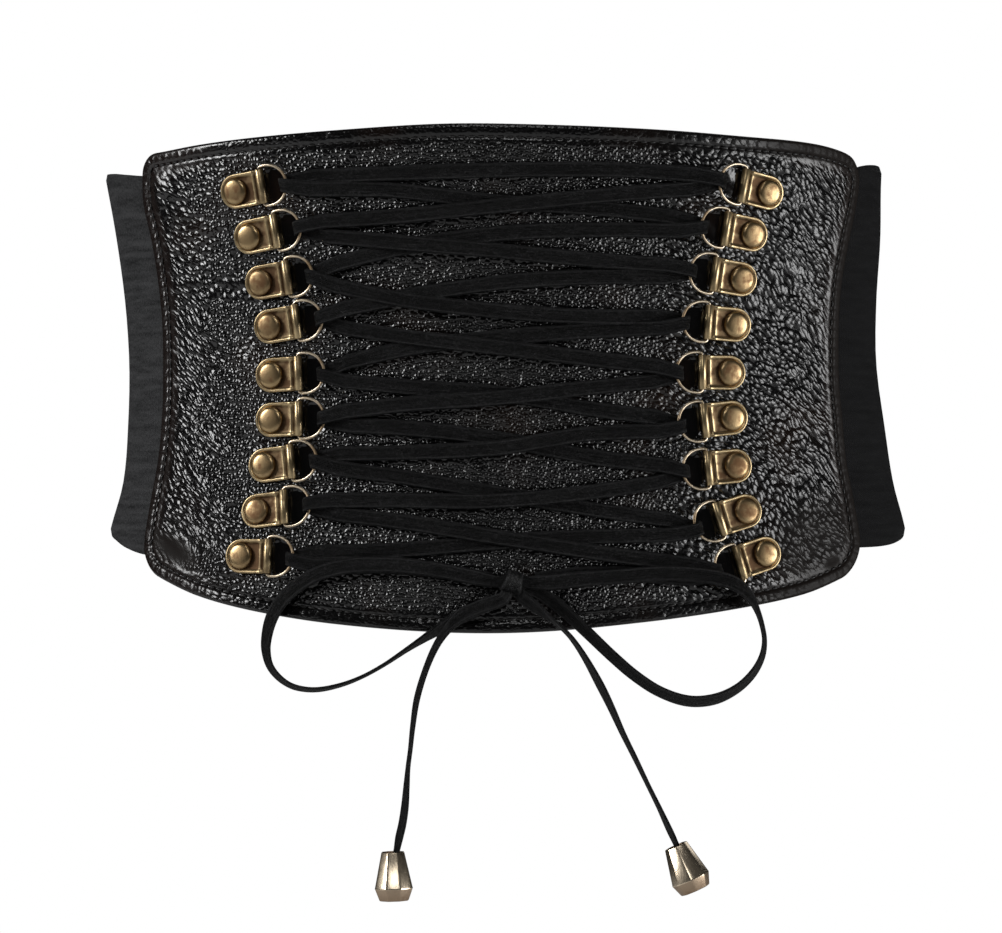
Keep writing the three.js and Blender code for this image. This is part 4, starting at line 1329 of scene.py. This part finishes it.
elasticMake = {
    "start": 54,
    "end": 179.8,
    "rib": 1.15,
    "columnsPerRib": 4,
    "ribDepth": 0.11,
    "rows": 30,
    "edgeRound": 0.7,
    "crowding": 0.55,  # of the rows by the top and bottom edges
    "waves": 0.35,
    "waveSize": 30,
    "waveTop": 0.1,
    # Where a change sets in and where it is full: by the distance from the top or bottom
    # edge, the ribs and the waves, and by the angle, the waves and the blend of the painted light towards the
    # back
    "ribsIn": (1, 4),
    "wavesIn": (0, 12),
    "wavesFrom": (70, 80),
    "backFrom": (105, 165),
}
# Painted light on each wing's colour, beside the panel and at the back: the left wing painted lighter and the
# right one darker, and the back in between
elasticPaintedLight = {"left": 1.0, "right": 0.0, "back": 0.45}


def makeElastic(sideName, direction):
    make = elasticMake
    span = math.radians(make["end"] - make["start"])
    ribs = int(span * sideRadius / make["rib"])
    size = np.linspace(make["start"], make["end"], ribs * make["columnsPerRib"] + 1)
    share = np.linspace(0, 1, make["rows"] + 1)
    share = share - make["crowding"] * np.sin(2 * np.pi * share) / (2 * np.pi)
    angle, up = np.meshgrid(size, share, indexing="ij")
    top = readTable(elasticHeights, "angle", f"{sideName}Top", angle)
    bottom = readTable(elasticHeights, "angle", f"{sideName}Bottom", angle)
    z = bottom + (top - bottom) * up
    beat = np.cos(2 * np.pi * np.arange(len(size)) / make["columnsPerRib"])[:, None]
    fromEdge = np.minimum(z - bottom, top - z)
    rounding = edgeFall(fromEdge, make["edgeRound"])
    angles = np.radians(angle) * direction
    u = arcLength(angles, z)
    outside = smoothStep(angle, *make["wavesFrom"])
    waves = make["waves"] * softNoise(u, z, make["waveSize"], 11) * outside
    waves = waves * smoothStep(fromEdge, *make["wavesIn"])
    lift = rounding + make["ribDepth"] * (beat - 1) * smoothStep(fromEdge, *make["ribsIn"])
    lift = lift + np.minimum(waves, make["waveTop"])
    if direction < 0:
        angles, z, lift, u = (grid[::-1] for grid in (angles, z, lift, u))
    inner = waistFrame(angles.ravel(), z.ravel(), -elasticThickness)[0]
    outer = waistFrame(angles.ravel(), z.ravel(), lift.ravel())[0]
    points = np.concatenate([outer, inner])
    skin = np.stack([u.ravel(), z.ravel(), 0 * u.ravel()], axis=-1)
    # Painted light: each wing's painted brightness, blending to the back's
    toBack = smoothStep(np.degrees(np.abs(angles.ravel())), *make["backFrom"])
    faded = elasticPaintedLight[sideName] * (1 - toBack) + elasticPaintedLight["back"] * toBack
    piece = makeMesh(f"elastic{sideName.capitalize()}", points, wallFaces(*angles.shape),
                     onBothFaces(skin=skin, faded=faded))
    piece.data.materials.append(elasticCloth)
    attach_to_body(piece, "root")
    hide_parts(f"elastic_{sideName}")


makeElastic("left", -1)
makeElastic("right", 1)
say("elastic wings made")


# The strip over the wings' back ends

placket = {
    "halfAngle": 5,
    "radius": 130,  # of the waist at the back
    "columns": 40,
    "rows": 120,
    "seamIn": 2.6,
    "seamEnd": 3,  # short of the top and the bottom
    "groove": 0.25,
    "grooveWidth": 0.6,
    "edgeRound": 0.9,
}


def makePlacket():
    size = np.linspace(180 - placket["halfAngle"], 180 + placket["halfAngle"], placket["columns"] + 1)
    angle, up = np.meshgrid(size, np.linspace(0, 1, placket["rows"] + 1), indexing="ij")
    top = readTable(elasticHeights, "angle", "rightTop", angle)
    bottom = readTable(elasticHeights, "angle", "rightBottom", angle)
    z = bottom + (top - bottom) * up
    angles = np.radians(angle)
    half = placket["halfAngle"] * np.pi / 180
    u = (angles - np.pi) * placket["radius"]
    fromSide = (half - np.abs(angles - np.pi)) * placket["radius"]
    distance = np.minimum(fromSide, np.minimum(z - bottom, top - z))
    relief = edgeFall(distance, placket["edgeRound"])
    relief -= placket["groove"] * np.exp(-((distance - placket["seamIn"]) / placket["grooveWidth"]) ** 2)
    outer = waistFrame(angles.ravel(), z.ravel(), panelLift + relief.ravel())[0]
    inner = waistFrame(angles.ravel(), z.ravel(), gap)[0]
    skin = np.stack([u.ravel(), z.ravel(), 0 * u.ravel()], axis=-1)
    zero = np.zeros(u.size)
    seam = np.stack([z.ravel() / stitch["pitch"], distance.ravel() + 2, 0 * u.ravel()], axis=-1)
    piece = makeMesh("backPlacket", np.concatenate([outer, inner]), wallFaces(*angles.shape),
                     onBothFaces(skin=skin, side=zero, hem=zero, seam=seam))
    piece.data.materials.append(leather)
    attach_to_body(piece, "root")
    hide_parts("back_placket")
    seams = []
    for way in (-1, 1):
        zs = np.linspace(bottom.min() + placket["seamEnd"], top.max() - placket["seamEnd"], 120)
        at = np.full(zs.shape, np.pi + way * (half - placket["seamIn"] / placket["radius"]))
        seams.append(waistFrame(at, zs, np.full(zs.shape, panelLift - 0.05))[0])
    makeStitches("placketStitches", seams, False, "back_placket", stitch["pitch"])


makePlacket()
say("placket made")


# Brass tabs, rivets and D-rings, one modelled in its own frame and set by geometry nodes

# The plate's outline moved in by a distance: from the knuckle round the rivet and back
def plateOutline(inset):
    half = tab["height"] / 2 - inset
    end = tab["knuckleX"] - 0.45
    xs = np.array([end, 9.1, 8.6, 8.2, 7.9, 7.6, 7.3, 7.0, 6.7, 6.4, 6.1, 5.6, 4.6, 3.2, 1.6])
    turns = np.linspace(np.pi / 2, 3 * np.pi / 2, 21)
    upper = np.stack([xs, np.full(len(xs), half)], axis=-1)
    arc = np.stack([half * np.cos(turns), half * np.sin(turns)], axis=-1)
    lower = np.stack([xs[::-1], np.full(len(xs), -half)], axis=-1)
    return np.concatenate([upper, arc, lower])


# The stamped face: a rim all round, a sunk floor, a ridge across and a valley by the knuckle
def plateHeight(x, inset):
    inside = smoothStep(inset, tab["rimWidth"], tab["rimWidth"] + tab["rimFall"])
    toKnuckle = smoothStep(x, tab["ridgeX"] + 0.3, tab["ridgeX"] + 1.0)
    knob = tab["knob"] * np.exp(-((x - tab["ridgeX"]) / tab["knobWidth"]) ** 2)
    rimTop = tab["rim"] + knob - tab["rimDip"] * toKnuckle
    rimTop = rimTop - tab["rimRound"] * (1 - smoothStep(inset, 0, tab["rimRound"]))
    ridge = tab["ridgeHeight"] * np.exp(-((x - tab["ridgeX"]) / tab["ridgeWidth"]) ** 2)
    floor = tab["floor"] + ridge - tab["floorDip"] * toKnuckle
    return rimTop * (1 - inside) + floor * inside


def makeTabShape():
    half = tab["height"] / 2
    insets = [0, 0.1, 0.22, 0.4, 0.6, 0.75, 0.9, 1.05, 1.25, 1.5, 1.8, 2.4, 3.3, 4.3, half]
    upper = plateOutline(0)
    straight = int(np.sum(upper[:, 1] >= half))
    points = []
    recess = []
    rows = []
    # Rows from the rim in to the middle line, where both halves share their points
    for face in ("top", "under"):
        for inset in insets if face == "top" else insets[::-1]:
            spots = plateOutline(inset)
            start = len(points)
            if inset == half:
                spots = spots[:straight]
                row = list(range(start, start + straight))
                row += [start + straight - 1] * (len(upper) - 2 * straight) + row[::-1]
            else:
                row = list(range(start, start + len(spots)))
            if face == "top":
                heights = plateHeight(spots[:, 0], inset)
                dark = np.clip((1 - smoothStep(heights, tab["floor"] - 0.05, tab["rim"] - 0.15)) * 0.85, 0, 1)
            else:
                heights = np.full(len(spots), 0.12 if inset == 0 else 0)
                dark = np.full(len(spots), 0.9)
            points += np.column_stack([spots, heights]).tolist()
            recess += dark.tolist()
            rows.append(row)
    faces = []
    topRows = len(insets)
    for i in range(len(rows) - 1):
        if i == topRows - 1:
            continue
        for k in range(len(upper) - 1):
            corners = [rows[i][k], rows[i][k + 1], rows[i + 1][k + 1], rows[i + 1][k]]
            faces.append(tuple(dict.fromkeys(corners)))
    # The rim's outer wall, and the end under the knuckle
    top = rows[0]
    under = rows[-1]
    for k in range(len(upper) - 1):
        faces.append((top[k + 1], top[k], under[k], under[k + 1]))
    for i in range(topRows - 1):
        j = len(rows) - 1 - i
        for k in (0, -1):
            faces.append((rows[i][k], rows[i + 1][k], rows[j - 1][k], rows[j][k])[::-1 if k else 1])
    # The rolled knuckle, bored for the ring
    turns = roundTurns(24)
    outerRadius = tab["knuckleRadius"]
    bore = tab["knuckleBore"]
    tube = [(bore, -half + 0.1), (bore + 0.15, -half), (outerRadius - 0.2, -half), (outerRadius, -half + 0.2),
            (outerRadius, half - 0.2), (outerRadius - 0.2, half), (bore + 0.15, half), (bore, half - 0.1)]
    start = len(points)
    for radius, y in tube:
        for turn in turns:
            z = outerRadius + radius * math.sin(turn)
            points.append((tab["knuckleX"] + radius * math.cos(turn), y, z))
            recess.append(0.9 if radius < bore + 0.1 else 0.05 + 0.3 * max(0, -math.cos(turn - 0.4)) ** 3)
    tube = tubeFaces(len(tube), len(turns), start, isLoop=True)
    faces += facingOut(np.array(points) - np.array([tab["knuckleX"], 0, outerRadius]), tube)
    return makeMesh("tabShape", points, faces, {"recess": np.array(recess)})


def makeRivetShape():
    foot = rivet["foot"]
    # (share of the radius, share of the rise, how dark): a wide cap with a flattish top
    cap = [
        (0.97, 0, 0.9), (1.0, 0.12, 0.7), (0.998, 0.3, 0.45), (0.98, 0.46, 0.25), (0.94, 0.62, 0.1),
        (0.87, 0.75, 0.0), (0.77, 0.85, 0.05), (0.64, 0.91, 0.25), (0.5, 0.95, 0.35), (0.34, 0.98, 0.4),
        (0.18, 1.0, 0.4), (0.05, 1.0, 0.4),
    ]
    turns = roundTurns(rivet["turns"])
    points = []
    recess = []
    for share, height, dark in cap:
        radius = rivet["radius"] * share
        for turn in turns:
            points.append((radius * math.cos(turn), radius * math.sin(turn), foot + rivet["rise"] * height))
            recess.append(dark)
    faces = closedTube(len(cap), len(turns))
    return makeMesh("rivetShape", points, facingOut(np.array(points), faces), {"recess": np.array(recess)})


# A ring's wire: a bar in the knuckle, a curl out of each end, and a nearly round bow
ringCurl = [(0, 5.3), (0.08, 5.8), (0.42, 6.14), (1.05, 6.34), (2, 6.4)]


def makeRingShape():
    curl = np.array(ringCurl)
    turn = np.linspace(np.pi / 2, 0, ring["steps"] // 2)[1:]
    start = curl[-1, 0]
    bowX = start + (ring["reach"] - start) * np.cos(turn) ** ring["fullness"]
    bow = np.stack([bowX, ring["halfHeight"] * np.sin(turn)], -1)
    upper = np.concatenate([curl, bow])
    lower = upper[:-1][::-1] * np.array([1, -1])
    bar = np.stack([np.zeros(7), np.linspace(-ringCurl[0][1], ringCurl[0][1], 9)[1:-1]], -1)
    route = np.concatenate([upper, lower, bar])
    route = np.column_stack([route[:, 0] + tab["knuckleX"], route[:, 1], np.full(len(route), ring["z"])])
    ahead = unit(np.roll(route, -1, axis=0) - np.roll(route, 1, axis=0))
    aside = np.cross(ahead, [0, 0, 1])
    count = ring["sides"]
    turns = roundTurns(count)
    wire = ring["wireRadius"]
    points = (route[:, None] + aside[:, None] * (wire * np.cos(turns))[None, :, None]
              + np.array([0, 0, 1.0]) * (wire * np.sin(turns))[None, :, None]).reshape(-1, 3)
    faces = tubeFaces(len(route), count, isLoop=True)
    # Painted shade round the bow, where the wire lies in the lace's fold: darker and rougher there
    dull = 0.75 * smoothStep(route[:, 0], tab["knuckleX"] + 6, tab["knuckleX"] + 8.6)
    return makeMesh("ringShape", points, facingOut(points, faces), {"recess": np.repeat(dull, count)})


# Sets a modelled shape on points that carry its turn, each with a tone of its own
def hardwareTree():
    start, given = newTree("hardwareRow", {"Shape": "Object", "Seed": "Int"})
    spots = start.node("GeometryNodeMeshToPoints", None, {0: given["Geometry"]})
    turn = start.node("GeometryNodeInputNamedAttribute", {"data_type": "QUATERNION"}, {"Name": "turn"})
    shape = start.node("GeometryNodeObjectInfo", None, {"Object": given["Shape"]}, output=4)
    chance = start.node("FunctionNodeRandomValue", {"data_type": "FLOAT"}, {"Seed": given["Seed"]}, output=1)
    return setOnPoints(spots, shape, turn, given["Material"], chance)


rowOfHardware = hardwareTree()


def makeHardware(name, shape, material, nodeKind, seed):
    mesh = bpy.data.meshes.new(name)
    matrices = list(tabFrames.values())
    mesh.from_pydata([(m[:3, 3] * mm).tolist() for m in matrices], [], [])
    layer = mesh.attributes.new("turn", "QUATERNION", "POINT")
    turns = [tuple(Matrix(m[:3, :3].tolist()).to_quaternion()) for m in matrices]
    layer.data.foreach_set("value", np.array(turns, np.float32).ravel())
    thing = newObject(name, mesh)
    applyTree(thing, rowOfHardware, {"Shape": shape, "Material": material, "Seed": seed})
    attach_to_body(thing, "root")
    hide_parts(*[f"{nodeKind}_{key}" for key in tabFrames])
    bpy.data.objects.remove(shape)


makeHardware("brassTabs", makeTabShape(), tabBrass, "tab", 4)
makeHardware("rivets", makeRivetShape(), rivetBrass, "tab", 9)
makeHardware("dRings", makeRingShape(), ringBrass, "ring", 2)
say("tabs, rivets and rings set")


# The held stretch of the lace, from the knot through every ring and back

fold = {"middle": -0.6, "fan": 0.6, "slack": 0.75, "steps": 9}
ringLeave = {"upper": 1.2, "lower": -2.4}
strandSkip = {"start": 0.07, "end": 0.06}
arrival = {"rise": 1.1, "near": 6, "far": 24}
knotBows = (0.6, 1.8, 1.6)


def ringFront(key):
    return tabFrames[key] @ np.array([ring["frontX"], 0, ring["z"], 1])


def strandEnds(row):
    start = ringFront(row["from"])[:3]
    end = ringFront(row["to"])[:3]
    topBar = row["to"] == "right_1"
    fromUpper = start[2] < end[2] or topBar
    toUpper = start[2] > end[2] or topBar
    start[2] += ringLeave["upper" if fromUpper else "lower"]
    end[2] += ringLeave["upper" if toUpper else "lower"]
    return start, end, fromUpper, toUpper


def strandLine(start, end, bows, f):
    bow = curveThrough([0, 0.25, 0.5, 0.75, 1], [0, *bows, 0], f)
    return np.stack([start[0] + (end[0] - start[0]) * f, start[2] + (end[2] - start[2]) * f + bow], axis=-1)


# Points along the strands that others cross
lowerPoints = np.concatenate([
    strandLine(*strandEnds(row)[:2], row["bows"], np.linspace(0.1, 0.9, 81))
    for row in strands
    if not row["over"]
])


# A strand's run along the panel: points, the panel's outward there, and its heights
def strandRun(start, end, bows, over, skip, steps=80, arrives=True):
    f = np.linspace(skip["start"], 1 - skip["end"], steps)
    line = strandLine(start, end, bows, f)
    height = np.full(steps, float(lace["runLift"]))
    if over:
        gapTo = np.linalg.norm(line[:, None] - lowerPoints[None], axis=-1).min(axis=1)
        reach = lace["width"] + lace["crossReach"]
        share = 1 - smoothStep(gapTo, reach, reach + lace["crossSlope"])
        share = share * smoothStep(f, lace["crossFrom"], lace["crossFull"])
        share = share * smoothStep(1 - f, lace["crossFrom"], lace["crossFull"])
        height = height + (lace["crossLift"] - lace["runLift"]) * share
    if arrives:
        toEnd = (1 - f) * abs(end[0] - start[0])
        height = np.maximum(height, lace["runLift"] + arrival["rise"]
                            * (1 - smoothStep(toEnd, arrival["near"], arrival["far"])))
    point, _, up, _ = frontFrame(line[:, 0], line[:, 1], height)
    return point, up


# The turn round a ring's wire, from over it to under it
def foldTurn(key, arrivesUpper, leavesUpper):
    matrix = tabFrames[key]
    upSign = np.sign(matrix[2, 1])
    clear = ring["wireRadius"] + gap + lace["thickness"] / 2
    f = np.linspace(1, -1, fold["steps"])
    turn = f * np.pi / 2
    arriving = fold["fan"] * (1 if arrivesUpper else -1) * f
    leaving = fold["fan"] * (1 if leavesUpper else -1) * -f
    fans = np.where(f > 0, arriving, leaving)
    local = np.stack([
        ring["frontX"] - (clear + fold["slack"]) * np.cos(turn),
        (fold["middle"] + fans) * upSign,
        ring["z"] + clear * np.sin(turn),
        np.ones(len(f)),
    ], axis=-1)
    point = (local @ matrix.T)[:, :3]
    across = np.repeat((matrix[:3, 1] * upSign)[None], len(f), axis=0)
    return point, across


def makeLacing():
    knotLeft = np.array([knot["x"] - knot["width"] / 2 - knot["reach"], 0, knot["z"] + knot["height"] / 10])
    knotRight = knotLeft + np.array([knot["width"] + 2 * knot["reach"], 0, 0])
    points = []
    acrosses = []
    narrow = []

    def addRun(point, up):
        points.append(point)
        acrosses.append(up)
        narrow.append(np.ones(len(point)))

    def addFold(key, arrivesUpper, leavesUpper):
        point, across = foldTurn(key, arrivesUpper, leavesUpper)
        points.append(point)
        acrosses.append(across)
        narrow.append(np.full(len(point), lace["foldWidth"] / lace["width"]))

    first = ringFront("left_9")[:3]
    first[2] += ringLeave["lower"]
    skip = {"start": 0.0, "end": 0.1}
    addRun(*strandRun(knotLeft, first, knotBows[::-1], False, skip, 40))
    upper = False
    for row in strands:
        start, end, fromUpper, toUpper = strandEnds(row)
        addFold(row["from"], upper, fromUpper)
        addRun(*strandRun(start, end, row["bows"], row["over"], strandSkip))
        upper = toUpper
    addFold("right_9", upper, False)
    last = ringFront("right_9")[:3]
    last[2] += ringLeave["lower"]
    skip = {"start": 0.1, "end": 0.0}
    addRun(*strandRun(last, knotRight, knotBows, False, skip, 40, arrives=False))
    others = [np.concatenate(acrosses), np.concatenate(narrow)]
    point, (across, squeeze) = evenly(np.concatenate(points), others, lace["heldSpacing"])
    # The strands lie a little tilted, now one way and now the other
    n = len(point)
    tilt = np.radians(lace["tilt"]) * softNoise(np.arange(n) * 1.0, np.zeros(n), 34, 31)
    tilt = tilt * smoothStep(squeeze, lace["foldWidth"] / lace["width"], 1)
    ahead = unit(np.gradient(point, axis=0))
    across = unit(across)
    across = across * np.cos(tilt)[:, None] + np.cross(ahead, across) * np.sin(tilt)[:, None]
    piece, length = ribbon("lacing", point, unit(across), squeeze)
    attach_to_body(piece, "root")
    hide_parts("lacing")
    return length


lacingLength = makeLacing()
say(f"held lace is {lacingLength:.0f} mm long")


# The knot: a small gathered heart with the lace wrapped round its front

def makeKnot():
    centre, along, up, outward = frontFrame(knot["x"], knot["z"], knot["lift"])
    rows = 20
    turnsRound = 32
    points = []
    weave = []
    for i in range(rows + 1):
        lat = np.pi * (i + 0.02) / (rows + 0.04) - np.pi / 2
        for k in range(turnsRound):
            lon = 2 * np.pi * k / turnsRound
            crease = 1 + 0.07 * math.sin(5 * lon + 2.2 * math.sin(3 * lat))
            crease += 0.05 * math.sin(3 * lon - 4 * lat)
            a = math.sin(lat) * knot["width"] / 2
            b = math.cos(lat) * math.cos(lon) * knot["depth"] / 2 * crease
            c = math.cos(lat) * math.sin(lon) * knot["height"] / 2 * crease
            points.append(centre + along * a + outward * b * knot["heart"] + up * c * knot["heart"])
            weave.append((a * 2, 4 * lon, 0))
    points = np.array(points)
    faces = facingOut(points - centre, closedTube(rows + 1, turnsRound))
    heart = makeMesh("bowKnotHeart", points, faces, {"weave": np.array(weave)})
    heart.data.materials.append(laceCloth)
    turn = np.linspace(0, 2 * np.pi, 49)[:-1]
    lean = unit(up + along * knot["lean"])
    line = (centre + outward * (0.25 + np.cos(turn) * (knot["depth"] / 2 - 0.2))[:, None]
            + lean * (np.sin(turn) * (knot["height"] / 2 - 0.25))[:, None])
    across = np.repeat(unit(along - up * knot["lean"])[None], len(line), axis=0)
    wide = knot["bandWide"] + knot["bandUneven"] * np.cos(turn + 1.9)
    band, _ = ribbon("bowKnotBand", line, across, wide, isLoop=True)
    for piece in (heart, band):
        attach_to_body(piece, "root")
        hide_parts("bow_knot")


makeKnot()
say("knot made")


# Floor, background and light

studio = {
    "floorDrop": 420,
    "floorSize": 3000,
    "paleFloor": (0.8, 0.8, 0.8),
    "backgroundWhite": 1.0,
    "roomLight": 0.02,
}
softboxes = [
    {"name": "leftBox", "place": (-1.6, -0.5, 0.6), "size": (0.5, 0.7), "power": 14.5},
    {"name": "rightBox", "place": (1.45, -0.45, -0.05), "size": (0.85, 0.65), "power": 10.5},
    {"name": "topBox", "place": (0, -0.7, 1.5), "size": (0.45, 0.25), "power": 1.2},
    {"name": "frontBox", "place": (0, -1.9, 1.15), "size": (0.8, 0.5), "power": 4},
    {"name": "backBox", "place": (0.6, 1.8, 1.2), "size": (1.4, 0.9), "power": 4},
]


def makeStudio():
    scene = bpy.context.scene
    size = studio["floorSize"] / 2
    z = -studio["floorDrop"]
    corners = [(-size, -size, z), (size, -size, z), (size, size, z), (-size, size, z)]
    floor = makeMesh("floor", corners, [(0, 1, 2, 3)], smooth=False)
    material, start, shader = newMaterial("paleFloor", {"Roughness": 0.7})
    shader.inputs["Base Color"].default_value = (*studio["paleFloor"], 1)
    floor.data.materials.append(material)
    world = bpy.data.worlds.new("whiteRoom")
    scene.world = world
    world.use_nodes = True
    tree = world.node_tree
    tree.nodes.clear()
    start = Wire(tree)
    seen = start.node("ShaderNodeLightPath")
    strength = seen * (studio["backgroundWhite"] - studio["roomLight"]) + studio["roomLight"]
    light = start.node("ShaderNodeBackground", None, {"Color": (1, 1, 1, 1), "Strength": strength})
    output = tree.nodes.new("ShaderNodeOutputWorld")
    tree.links.new(light.socket, output.inputs["Surface"])
    for box in softboxes:
        data = bpy.data.lights.new(box["name"], "AREA")
        data.shape = "RECTANGLE"
        data.size, data.size_y = box["size"]
        data.energy = box["power"]
        lamp = newObject(box["name"], data)
        lamp.location = box["place"]
        lamp.visible_camera = False
        lamp.rotation_euler = (-Vector(box["place"])).to_track_quat("-Z", "Y").to_euler()
    scene.view_settings.view_transform = "Standard"


makeStudio()
say("studio set")
